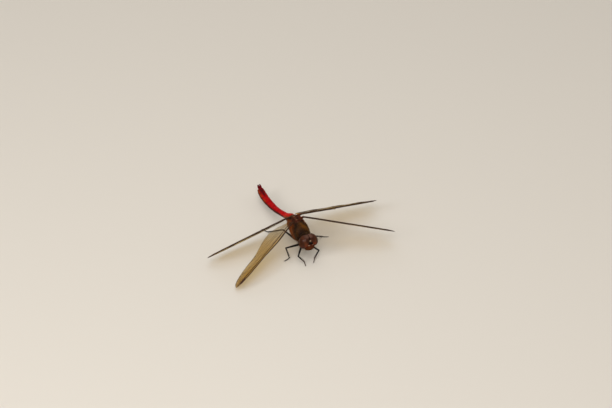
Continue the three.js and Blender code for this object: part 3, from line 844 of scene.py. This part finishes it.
# ---------------------------------------------------------------- wings
# Each wing is a clear film a few thousandths of a millimetre thick with an amber tint, pleated
# along its main veins and held by a net of brown tubes. A dark thick cell weights the front edge.
CAMBER = 0.035
CELL = 0.7
ROOT_SHARE = -0.015
ROOT_DROP = 0.25
WEIGHT_ENDS = (0.865, 0.95)
WEIGHT_SWELL = 0.19
CROSS_VEIN_RADIUS = 0.025
FOLD_ROWS, FOLD_COLUMNS = 400, 100
FILM_ROWS, FILM_COLUMNS = 200, 61
# The front and rear edge: how far along the wing, and how many millimetres before its middle line.
FORE_EDGES = (
    through((-0.03, 0.45), (0.08, 0.85), (0.3, 1.35), (0.5, 1.6), (0.75, 1.7), (0.88, 1.45), (0.96, 0.85),
            (0.99, 0.35), (1, 0.08)),
    through((-0.03, -0.6), (0, -0.8), (0.05, -1.5), (0.12, -3.2), (0.22, -4.5), (0.38, -5.2), (0.55, -5.5),
            (0.7, -5.2), (0.84, -4.2), (0.93, -2.8), (0.98, -1.2), (1, -0.12)),
)
HIND_EDGES = (
    through((-0.03, 0.45), (0.08, 0.8), (0.3, 1.35), (0.45, 1.6), (0.75, 1.75), (0.88, 1.5), (0.96, 0.85),
            (0.99, 0.35), (1, 0.08)),
    through((-0.03, -1.0), (0, -1.9), (0.03, -4.4), (0.08, -6.4), (0.15, -7.4), (0.24, -7.75), (0.36, -7.3),
            (0.5, -6.5), (0.66, -5.7), (0.82, -4.4), (0.92, -3.0), (0.98, -1.3), (1, -0.12)),
)
# Each main vein's fold, as the height that it lies on, and its radius at the root and at its end.
VEIN_BUILDS = {
    "second": (-0.22, 0.075, 0.07),
    "third": (0.14, 0.12, 0.1),
    "fourth": (-0.1, 0.045, 0.03),
    "fork": (0.08, 0.035, 0.025),
    "fifth": (-0.08, 0.04, 0.028),
    "sixth": (0.08, 0.045, 0.03),
    "seventh": (-0.07, 0.04, 0.03),
    "eighth": (0.06, 0.035, 0.028),
    "ninth": (-0.06, 0.055, 0.04),
    "loop": (-0.05, 0.035, 0.028),
    "root": (0.05, 0.035, 0.03),
}
# Main veins from the root outwards: how far along the wing and how far back across it each passes.
FORE_VEINS = {
    "second": [(-0.03, 0.24), (0.1, 0.13), (0.3, 0.065), (0.44, 0.05), (0.485, 0.03), (0.5, 0)],
    "third": [(-0.03, 0.42), (0.08, 0.24), (0.2, 0.16), (0.5, 0.115), (0.75, 0.12), (0.9, 0.16),
              (0.955, 0.2), (0.985, 0.12)],
    "fourth": [(0.13, 0.25), (0.25, 0.2), (0.5, 0.19), (0.7, 0.24), (0.88, 0.36), (0.965, 0.62),
               (0.985, 0.9)],
    "fork": [(0.48, 0.19), (0.56, 0.28), (0.7, 0.42), (0.84, 0.68), (0.925, 1)],
    "fifth": [(0.3, 0.2), (0.4, 0.3), (0.55, 0.44), (0.7, 0.66), (0.815, 1)],
    "sixth": [(0.13, 0.3), (0.25, 0.36), (0.4, 0.46), (0.55, 0.68), (0.68, 1)],
    "seventh": [(0.2, 0.5), (0.3, 0.58), (0.42, 0.74), (0.53, 1)],
    "eighth": [(0.17, 0.62), (0.24, 0.72), (0.32, 0.86), (0.38, 1)],
    "ninth": [(-0.03, 0.75), (0.08, 0.62), (0.17, 0.6)],
}
HIND_VEINS = {
    "second": [(-0.03, 0.14), (0.08, 0.07), (0.25, 0.05), (0.36, 0.04), (0.405, 0.025), (0.42, 0)],
    "third": [(-0.03, 0.3), (0.08, 0.13), (0.2, 0.1), (0.42, 0.1), (0.7, 0.12), (0.88, 0.16),
              (0.955, 0.2), (0.985, 0.12)],
    "fourth": [(0.1, 0.16), (0.25, 0.14), (0.45, 0.16), (0.7, 0.24), (0.88, 0.38), (0.965, 0.62),
               (0.985, 0.9)],
    "fork": [(0.4, 0.155), (0.5, 0.26), (0.68, 0.42), (0.83, 0.68), (0.92, 1)],
    "fifth": [(0.25, 0.14), (0.36, 0.24), (0.52, 0.4), (0.68, 0.64), (0.8, 1)],
    "sixth": [(0.1, 0.2), (0.22, 0.26), (0.38, 0.38), (0.54, 0.64), (0.66, 1)],
    "seventh": [(0.13, 0.34), (0.24, 0.44), (0.38, 0.64), (0.5, 1)],
    "eighth": [(0.13, 0.36), (0.2, 0.56), (0.28, 0.78), (0.34, 1)],
    "loop": [(0.1, 0.4), (0.12, 0.58), (0.17, 0.76), (0.225, 0.9), (0.25, 1)],
    "ninth": [(-0.03, 0.6), (0.06, 0.4), (0.13, 0.35)],
    "root": [(0.015, 0.55), (0.04, 0.75), (0.06, 1)],
}
FORE_LENGTH, HIND_LENGTH = 29.5, 28.8


class WingPlan:
    """One wing laid flat: a runs along it from the root, and b forward across it, in millimetres."""

    def __init__(self, length, edges, veins):
        self.length, self.edges, self.veins = length, edges, veins
        self.folds = np.zeros((FOLD_ROWS + 1, FOLD_COLUMNS + 1))
        back = np.linspace(0, 1, FOLD_COLUMNS + 1)
        curves = [(through(*spots), spots[0][0], spots[-1][0], fold)
                  for spots, fold in ((spots, VEIN_BUILDS[name][0]) for name, spots in veins.items())]
        for i, u in enumerate(np.linspace(ROOT_SHARE, 1, FOLD_ROWS + 1)):
            met = sorted((float(curve(u)), fold) for curve, start, end, fold in curves
                         if start <= u <= end)
            places = [0.0] + [place for place, _ in met] + [1.0]
            heights = [0.03] + [fold for _, fold in met] + [0.0]
            self.folds[i] = np.interp(back, places, heights) * (1 - 0.6 * step(0.8, 1.0, u))
        for _ in range(3):
            self.folds[1:-1] = (self.folds[:-2] + 2 * self.folds[1:-1] + self.folds[2:]) / 4

    def flat(self, u, back):
        """A place on the flat wing, by the share of its length and of its width behind the front."""
        lead, trail = self.edges[0](u), self.edges[1](u)
        return np.stack([u * self.length, lead + (trail - lead) * back], axis=-1)

    def lift(self, flat):
        """How high the film stands over the flat wing there, from its folds and its hollow."""
        u = np.clip(flat[..., 0] / self.length, ROOT_SHARE, 1)
        lead, trail = self.edges[0](u), self.edges[1](u)
        width = np.maximum(lead - trail, 0.05)
        back = np.clip((lead - flat[..., 1]) / width, 0, 1)
        i, j = (u - ROOT_SHARE) / (1 - ROOT_SHARE) * FOLD_ROWS, back * FOLD_COLUMNS
        i0 = np.minimum(i.astype(int), FOLD_ROWS - 1)
        j0 = np.minimum(j.astype(int), FOLD_COLUMNS - 1)
        s, t = i - i0, j - j0
        near = self.folds[i0, j0] * (1 - t) + self.folds[i0, j0 + 1] * t
        far = self.folds[i0 + 1, j0] * (1 - t) + self.folds[i0 + 1, j0 + 1] * t
        sunk = ROOT_DROP * step(0.012, ROOT_SHARE, u)
        return near * (1 - s) + far * s + CAMBER * width * (1 - (2 * back - 1) ** 2) - sunk

    def film(self):
        """The film as a grid of flat places, with each one's shares along and across."""
        u = ROOT_SHARE + (0.999 - ROOT_SHARE) * (1 - np.linspace(1, 0, FILM_ROWS) ** 1.4)
        u, back = np.meshgrid(u, np.linspace(0, 1, FILM_COLUMNS), indexing="ij")
        faces = net(FILM_ROWS, FILM_COLUMNS, closed=False)
        return self.flat(u, back).reshape(-1, 2), faces, u.ravel(), back.ravel()

    def main_veins(self):
        """The wing's edge and its main veins as flat lines, each with its radii."""
        u = ROOT_SHARE + (0.998 - ROOT_SHARE) * (1 - np.linspace(1, 0, 90) ** 1.6)
        edge = np.concatenate([self.flat(u, 0 * u + 0.01), self.flat(u[::-1], 0 * u + 1)])
        costa = 0.18 - 0.03 * u - 0.1 * step(0.84, 0.97, u)
        lines = [(edge, np.concatenate([costa, 0.03 + 0.01 * u[::-1]]))]
        for name, spots in self.veins.items():
            _, thick, thin = VEIN_BUILDS[name]
            u = np.linspace(max(spots[0][0], ROOT_SHARE), spots[-1][0], 12 + int(50 * spots[-1][0]))
            line = self.flat(u, np.clip(through(*spots)(u), 0, 1))
            drawn = [other for other, _ in lines]
            if spots[0][0] > 0:
                line = np.concatenate([[nearest_on(drawn, line[0])[0]], line])
            line = np.concatenate([line, [nearest_on(drawn, line[-1])[0]]])
            line = line[np.append(True, np.hypot(*np.diff(line, axis=0).T) > 1e-3)]
            lines.append((line, np.linspace(thick, thin, len(line))))
        return lines


def nearest_on(lines, spot):
    """The nearest point of a set of flat lines, and its distance."""
    best, found = np.inf, spot
    for line in lines:
        start, move = line[:-1], np.diff(line, axis=0)
        share = np.clip(((spot - start) * move).sum(axis=1) / (move**2).sum(axis=1).clip(1e-9), 0, 1)
        there = start + share[:, None] * move
        gap = np.hypot(*(there - spot).T)
        if gap.min() < best:
            best, found = gap.min(), there[gap.argmin()]
    return found, best


def cell_seeds(plan, lines, rng):
    """The middles of a wing's cells: a row along each side of every main vein, then the rest."""
    seeds = []

    def sow(spot, room):
        if all(math.hypot(spot[0] - x, spot[1] - y) > room for x, y in seeds):
            seeds.append((float(spot[0]), float(spot[1])))

    for line in [lines[2], lines[0], lines[1]] + lines[3:]:
        run = np.concatenate([[0], np.cumsum(np.hypot(*np.diff(line, axis=0).T))])
        for stop in np.arange(0.25, run[-1] - 0.1, CELL * 0.85):
            here, ahead = (np.array([np.interp(stop + more, run, axis) for axis in line.T])
                           for more in (0, 0.1))
            side = np.array((here[1] - ahead[1], ahead[0] - here[0])) * 10 * 0.38 * CELL
            sow(here + side, 0.55 * CELL)
            sow(here - side, 0.55 * CELL)
    for row, a in enumerate(np.arange(0.2, plan.length, CELL * 0.8)):
        lead, trail = (float(edge(a / plan.length)) for edge in plan.edges)
        for b in np.arange(trail, lead, CELL * 0.85):
            sow(np.array((a, b + 0.4 * CELL * (row % 2))) + rng.uniform(-0.1, 0.1, 2) * CELL, 0.72 * CELL)
    return np.array(seeds)


def cell_walls(seeds):
    """The walls between cells that pack round their seeds, as pairs of flat places."""
    walls = []
    corners = 1.2 * np.array(((-1, -1), (1, -1), (1, 1), (-1, 1)))
    for i, seed in enumerate(seeds):
        gaps = np.hypot(*(seeds - seed).T)
        shape = [(seed + corner, -1) for corner in corners]
        for j in np.argsort(gaps)[1:20]:
            away, half_way = seeds[j] - seed, (seeds[j] + seed) / 2
            kept = []
            for k, (corner, wall) in enumerate(shape):
                after = shape[(k + 1) % len(shape)][0]
                past, past_next = (corner - half_way) @ away, (after - half_way) @ away
                if past <= 0:
                    kept.append((corner, wall))
                if past * past_next < 0:
                    meet = corner + (after - corner) * past / (past - past_next)
                    kept.append((meet, wall if past > 0 else j))
            shape = kept
        for k, (corner, wall) in enumerate(shape):
            if wall > i:
                walls.append((corner, shape[(k + 1) % len(shape)][0]))
    return walls


def cross_veins(plan, lines, rng):
    """Short straight veins: ladders behind the front edge, and the walls of the cells behind."""
    second, third = (through(*plan.veins[name]) for name in ("second", "third"))
    node = plan.veins["second"][-1][0]
    rungs = []
    for u in np.arange(0.05, node - 0.02, 0.046):
        rungs.append((plan.flat(u, 0.0), plan.flat(u + 0.003, float(second(u)))))
        rungs.append((plan.flat(u + 0.003, float(second(u))), plan.flat(u + 0.006, float(third(u)))))
    for u in np.arange(node + 0.002, WEIGHT_ENDS[0] - 0.01, 0.044):
        rungs.append((plan.flat(u, 0.0), plan.flat(u + 0.008, float(third(u)))))
    reach = 0.26 * CELL
    for wall in cell_walls(cell_seeds(plan, lines, rng)):
        snapped = [nearest_on(lines, spot) for spot in wall]
        gaps = [gap for _, gap in snapped]
        ends = [there if gap < reach else spot for (there, gap), spot in zip(snapped, wall)]
        middle = (ends[0] + ends[1]) / 2
        u = middle[0] / plan.length
        if max(gaps) < reach or not 0.0 < u < 0.985 or np.hypot(*(ends[0] - ends[1])) < 0.1:
            continue
        lead = plan.flat(u, float(third(u)) if u < 0.96 else 0.0)[1]
        if plan.flat(u, 1.0)[1] < middle[1] < lead:
            rungs.append(ends)
    return rungs


def vein_net(plan, place, rng):
    """A wing's whole net of veins as closed tubes."""
    drawn = plan.main_veins()
    parts = []
    for line, radii in drawn:
        middle = place(line)
        along = unit(np.gradient(middle, axis=0))
        sideways = unit(np.cross(along, (0.1, 0.2, 1.0)))
        parts.append(rod(middle, sideways * radii[:, None], np.cross(sideways, along) * radii[:, None], 8))
    for start, end in cross_veins(plan, [line for line, _ in drawn], rng):
        middle = place(np.linspace(start, end, 3))
        along = unit(middle[-1] - middle[0])
        sideways = unit(np.cross(along, (0.1, 0.2, 1.0)))
        wide = np.tile(sideways * CROSS_VEIN_RADIUS, (3, 1))
        parts.append(rod(middle, wide, np.cross(wide, along), 4))
    return joined(parts)


def wing_weight(plan, place):
    """The thick dark cell by the tip, between the front edge and the third vein."""
    third = through(*plan.veins["third"])
    u = np.linspace(*WEIGHT_ENDS, 24)
    front, rear = place(plan.flat(u, 0 * u)), place(plan.flat(u, third(u)))
    middles, across = (front + rear) / 2, (front - rear) / 2
    up = unit(np.cross(across, np.gradient(middles, axis=0)))
    swell = WEIGHT_SWELL * (1 - np.linspace(-0.98, 0.98, 24) ** 6)
    return rod(middles, across, up * swell[:, None], 24, 4)


def film_finish():
    """Clear amber film: light passes it tinted, with a little of a glossy skin's shine."""
    finish, add = finish_nodes("wing_film")
    spot = add("TexCoord").outputs["Object"]
    tint = add("Attribute", attribute_name="markings")
    ripple = add("TexNoise", {"Vector": spot, "Scale": 2600, "Detail": 2})
    dent = add("Bump", {"Height": ripple, "Strength": 0.25, "Distance": 0.00003})
    clear = add("BsdfTransparent", {"Color": tint})
    gloss = add("BsdfPrincipled", {"Base Color": (*shade(144, 116, 72), 1), "Roughness": 0.22,
                                   "Normal": dent, "Specular IOR Level": 0.4})
    film = add("MixShader", {0: 0.16, 1: clear, 2: gloss})
    add("OutputMaterial", {"Surface": film})
    return finish


def horn_finish(name, colour, roughness):
    """Brown horn of the veins and the tip weight, unevenly dark."""
    finish, add = finish_nodes(name)
    spot = add("TexCoord").outputs["Object"]
    cloud = add("TexNoise", {"Vector": spot, "Scale": 900, "Detail": 2})
    cloudy = clouded(add, tuple(colour), cloud, 0.6, 1.5, low=0, high=1)
    horn = add("BsdfPrincipled", {"Base Color": cloudy, "Roughness": roughness,
                                  "Specular IOR Level": 0.18})
    add("OutputMaterial", {"Surface": horn})
    return finish


wing_film = film_finish()
vein_horn = horn_finish("wing_veins", shade(54, 32, 16), 0.45)
weight_horn = horn_finish("wing_weight", shade(60, 30, 14), 0.5)
fore_plan = WingPlan(FORE_LENGTH, FORE_EDGES, FORE_VEINS)
hind_plan = WingPlan(HIND_LENGTH, HIND_EDGES, HIND_VEINS)
rng = np.random.default_rng(7)
for name, span in WING_SPANS.items():
    plan = fore_plan if "fore" in name else hind_plan

    def place(flat):
        base, along, chord, face = wing_axes(*span, flat[:, 0] / plan.length)
        return base + flat[:, :1] * along + flat[:, 1:] * chord + plan.lift(flat)[:, None] * face

    flat, faces, share, back = plan.film()
    tint = painted(
        flat,
        shade(249, 240, 218),
        (shade(240, 212, 150), step(0.08, 0.5, share)),
        (shade(224, 176, 92), 0.9 * step(0.1, 0.02, share)),
        (shade(226, 182, 96), 0.6 * step(0.2, 0.0, back)),
    )
    new_piece(f"{name}_film", place(flat), faces, wing_film, "wings", [name], tint)
    new_piece(f"{name}_veins", *vein_net(plan, place, rng), vein_horn, "wings")
    new_piece(f"{name}_weight", *wing_weight(plan, place), weight_horn, "wings")

# ---------------------------------------------------------------- hair and bristles
# Fine golden-brown hairs stand on the thorax, the face and the root of the abdomen, and get short
# and sparse along its rings. Stiff black bristles arm the legs. Each hair tapers to a point.
HAIR_TIP = shade(158, 112, 56)
HAIR_CORNERS = 10
COAT_TOP = 11.2
rng = np.random.default_rng(23)


def hairs(roots, outward, lie, length, radius):
    """Curved three-sided hairs from their roots, as one form: three rings of three and a point."""
    sideways = unit(np.cross(outward, lie + (0.013, 0.017, 0.019)))
    third_way = np.cross(outward, sideways)
    rings = []
    for share, size in ((-0.04, 1.0), (0.35, 0.85), (0.7, 0.5)):
        middle = roots + length[:, None] * (outward * share * (1 - 0.35 * share) + lie * share**2 * 0.6)
        for turn in (0, 2 * np.pi / 3, 4 * np.pi / 3):
            rings.append(middle + radius * size * (sideways * math.cos(turn) + third_way * math.sin(turn)))
    rings.append(roots + length[:, None] * (outward * 0.65 + lie * 0.6))
    points = np.stack(rings, axis=1).reshape(-1, 3)
    pattern = [(k + j, k + (j + 1) % 3, k + 3 + (j + 1) % 3, k + 3 + j) for k in (0, 3) for j in range(3)]
    pattern += [(6 + j, 6 + (j + 1) % 3, 9) for j in range(3)]
    faces = [tuple(HAIR_CORNERS * i + corner for corner in face)
             for i in range(len(roots)) for face in pattern]
    return points, faces


def lay_out(piece, places):
    """Gives each hair a small patch of its own at its root's place on the skin's flat map."""
    shift = [((j - 1) * 0.001, (k - 1) * 0.0012) for k in range(3) for j in range(3)] + [(0, 0.0015)]
    spots = (places[:, None] + np.array(shift)).reshape(-1, 2)
    corners = np.empty(len(piece.data.loops), int)
    piece.data.loops.foreach_get("vertex_index", corners)
    layer = piece.data.uv_layers.new(name="OFBake")
    layer.data.foreach_set("uv", np.clip(spots, 0, 1)[corners].ravel().astype(np.float32))


def sown(count, density):
    """Random roots on the body's skin, thick where density is high, with their outward directions."""
    corners = np.array(skin_faces)
    a, b, c, d = (skin_points[corners[:, i]] for i in range(4))
    facing = outward_of(skin_points, corners)
    weight = np.linalg.norm(facing, axis=1) * density((a + b + c + d) / 4)
    chosen = rng.choice(len(corners), count, p=weight / weight.sum())
    s, t = rng.random((2, count, 1))
    roots = (a[chosen] * (1 - s) + b[chosen] * s) * (1 - t) + (d[chosen] * (1 - s) + c[chosen] * s) * t
    return roots, unit(facing[chosen])


hair_gloss = cuticle("hair", roughness=0.5, grain=20000, dent=0.1, shine=0.2)


def coat(name, slot, count, density, lean, length, radius, unwrap):
    """A coat of hairs in the skin's own colours, a little more golden."""
    roots, outward = sown(count, density)
    lie = lean - (lean * outward).sum(axis=1, keepdims=True) * outward + rng.normal(0, 0.16, (count, 3))
    outward = unit(outward + rng.normal(0, 0.22, (count, 3)))
    points, faces = hairs(roots, outward, lie, length(roots) * rng.uniform(0.65, 1.0, count), radius)
    points[:, 2] = np.minimum(points[:, 2], COAT_TOP)
    golden = 0.22 * step(6, 4, along_tail(roots)[0] * regions(roots)[2])
    colours = np.repeat(painted(roots, markings(roots), (HAIR_TIP, golden)), HAIR_CORNERS, axis=0)
    lay_out(new_piece(name, points, faces, hair_gloss, slot, colours=colours), unwrap(roots))


def wrapped(across, above, along):
    """Places on a flat map: the turn round the skin, and the share along it."""
    return np.stack([np.arctan2(across, above) / (2 * np.pi) + 0.5, along], axis=1)


def round_body(roots):
    """Flat places round the thorax."""
    return wrapped(roots[:, 0], roots[:, 2] - THORAX_MIDDLE, (roots[:, 1] + 5) / 11)


def round_head(roots):
    """Flat places round the head."""
    x, y, z = (roots - HEAD).T
    return wrapped(x, z, (y + 2.2) / 4.6)


def round_tail(roots):
    """Flat places round the abdomen."""
    reach, _ = along_tail(roots)
    place, _, up = spine_at(reach)
    arm = roots - place
    return wrapped(arm[:, 0], (arm * up).sum(axis=1), reach / ring_joints[-1])


def on_thorax(spots):
    """How thick the hair is on the thorax: thinner along its back."""
    at_head, _, at_tail = regions(spots)
    return (1 - at_head) * (1 - at_tail) * (0.35 + 0.65 * step(10.6, 9.8, spots[:, 2]))


def on_head(spots):
    """How thick the hair is on the head: even."""
    return regions(spots)[0]


def on_tail(spots):
    """How thick the hair is on the abdomen: mostly at its root."""
    reach, _ = along_tail(spots)
    return regions(spots)[2] * (0.12 + 0.88 * step(3.4, 1.6, reach))


coat("thorax_hair", "thorax", 9500, on_thorax, np.array((0, 0.75, -0.35)),
     lambda roots: (0.42 + 0.3 * step(2.0, -1.5, roots[:, 1])) * step(10.95, 10.0, roots[:, 2] - 0.1),
     0.012, round_body)
coat("head_hair", "face", 1500, on_head, np.array((0, -0.2, -0.6)),
     lambda roots: 0.26 + 0.25 * step(-7.0, -5.6, roots[:, 1]), 0.01, round_head)
coat("tail_hair", "abdomen", 3200, on_tail, np.array((0, 0.8, -0.1)),
     lambda roots: 0.14 + 0.34 * step(9.0, 6.0, roots[:, 1]), 0.01, round_tail)

for name, bones in leg_bones.items():
    hip, knee, ankle, ball, toe = bones
    bend = unit(np.cross(knee - hip, ankle - knee))
    roots, outward, lie, length, places = [], [], [], [], []
    # Each length's ends and radius, how many bristles stand in a row, and the longest of them.
    for start, end, radius, count, longest in ((hip, knee, 0.29, 11, 0.3), (knee, ankle, 0.18, 12, 0.62),
                                               (ankle, ball, 0.11, 5, 0.16), (ball, toe, 0.11, 5, 0.16)):
        along = unit(end - start)
        inside = np.cross(along, bend)
        inside = -inside if inside @ (hip + ankle - 2 * knee) < 0 else inside
        for turn in (-50, -18, 18, 50, 140, 220):
            arm = inside * math.cos(math.radians(turn)) + bend * math.sin(math.radians(turn))
            rows = (np.arange(count) + rng.uniform(0.2, 0.8, count)) / count * 0.86 + 0.1
            for share in rows if turn < 90 else rows[::2]:
                roots.append(start + (end - start) * share + arm * radius * 0.9)
                outward.append(unit(arm + along * 0.55))
                lie.append(along * 0.5)
                length.append(longest * (0.7 + 0.5 * share * (1 - share)) * (1 if turn < 90 else 0.45))
                places.append((turn / 360 + 0.3, (len(places) % 97) / 100 + 0.01))
    outward, roots = np.array(outward), np.array(roots)
    points, faces = hairs(roots, outward, np.array(lie), np.array(length), 0.022)
    points[:, 2] = np.maximum(points[:, 2], 0.01)
    bristles = new_piece(f"bristles_{name}", points, faces, leg_cuticle, "legs",
                         colours=painted(points, shade(18, 13, 10)))
    lay_out(bristles, np.array(places))

# ---------------------------------------------------------------- floor, light and camera
# The insect stands on a plain pale floor, under five soft panels and an even pale sky. None of
# them is part of the model.
floor_finish, add = finish_nodes("floor")
paper = add("BsdfPrincipled", {"Base Color": (*shade(214, 206, 194), 1), "Roughness": 0.9})
add("OutputMaterial", {"Surface": paper})
FLOOR_REACH = 1.2
floor_corners = [(x * FLOOR_REACH, y * FLOOR_REACH, 0) for x, y in ((-1, -1), (1, -1), (1, 1), (-1, 1))]
floor = placed("floor", new_mesh("floor", floor_corners, [(0, 1, 2, 3)]))
floor.data.materials.append(floor_finish)

sky = bpy.data.worlds.new("sky")
sky.use_nodes = True
painted_sheen = sky.node_tree.nodes["Background"]
painted_sheen.inputs["Color"].default_value = (1, 0.985, 0.96, 1)
painted_sheen.inputs["Strength"].default_value = 0.3
bpy.context.scene.world = sky

for name, place, size, power in (
    ("panel_front", (-0.24, -0.34, 0.5), 0.4, 2.2),
    ("panel_right", (-0.56, -0.1, 0.38), 0.22, 1.2),
    ("panel_above", (0.0, 0.05, 0.6), 0.5, 0.9),
    ("panel_left", (0.5, -0.25, 0.45), 0.35, 0.3),
    ("panel_back", (0.05, 0.6, 0.4), 0.35, 0.3),
):
    panel = bpy.data.lights.new(name, "AREA")
    panel.size = size
    panel.energy = power
    lamp = placed(name, panel)
    lamp.location = place
    lamp.rotation_euler = (-Vector(place)).to_track_quat("-Z", "Y").to_euler()

# The camera looks down from in front and a little to the insect's right. It is shifted so that the
# insect stands a little below the middle of the picture.
TURN, RISE, AWAY, LENS = math.radians(-26.5), math.radians(37), 900.0, 169.4
SHIFT_LEFT, SHIFT_UP = 0.75, 11.75
back = np.array((math.sin(TURN) * math.cos(RISE), -math.cos(TURN) * math.cos(RISE), math.sin(RISE)))
rightward = np.array((math.cos(TURN), math.sin(TURN), 0))
upward = np.cross(back, rightward)
eye_spot = HEAD + back * AWAY - rightward * SHIFT_LEFT + upward * SHIFT_UP
camera_data = bpy.data.cameras.new("camera")
camera_data.lens = LENS
camera_data.clip_start, camera_data.clip_end = 0.01, 10
camera = placed("camera", camera_data)
camera.location = eye_spot * MM + floor_spot
camera.rotation_euler = Vector(back).to_track_quat("Z", "Y").to_euler()
bpy.context.scene.camera = camera
bpy.context.scene.view_settings.view_transform = "Standard"
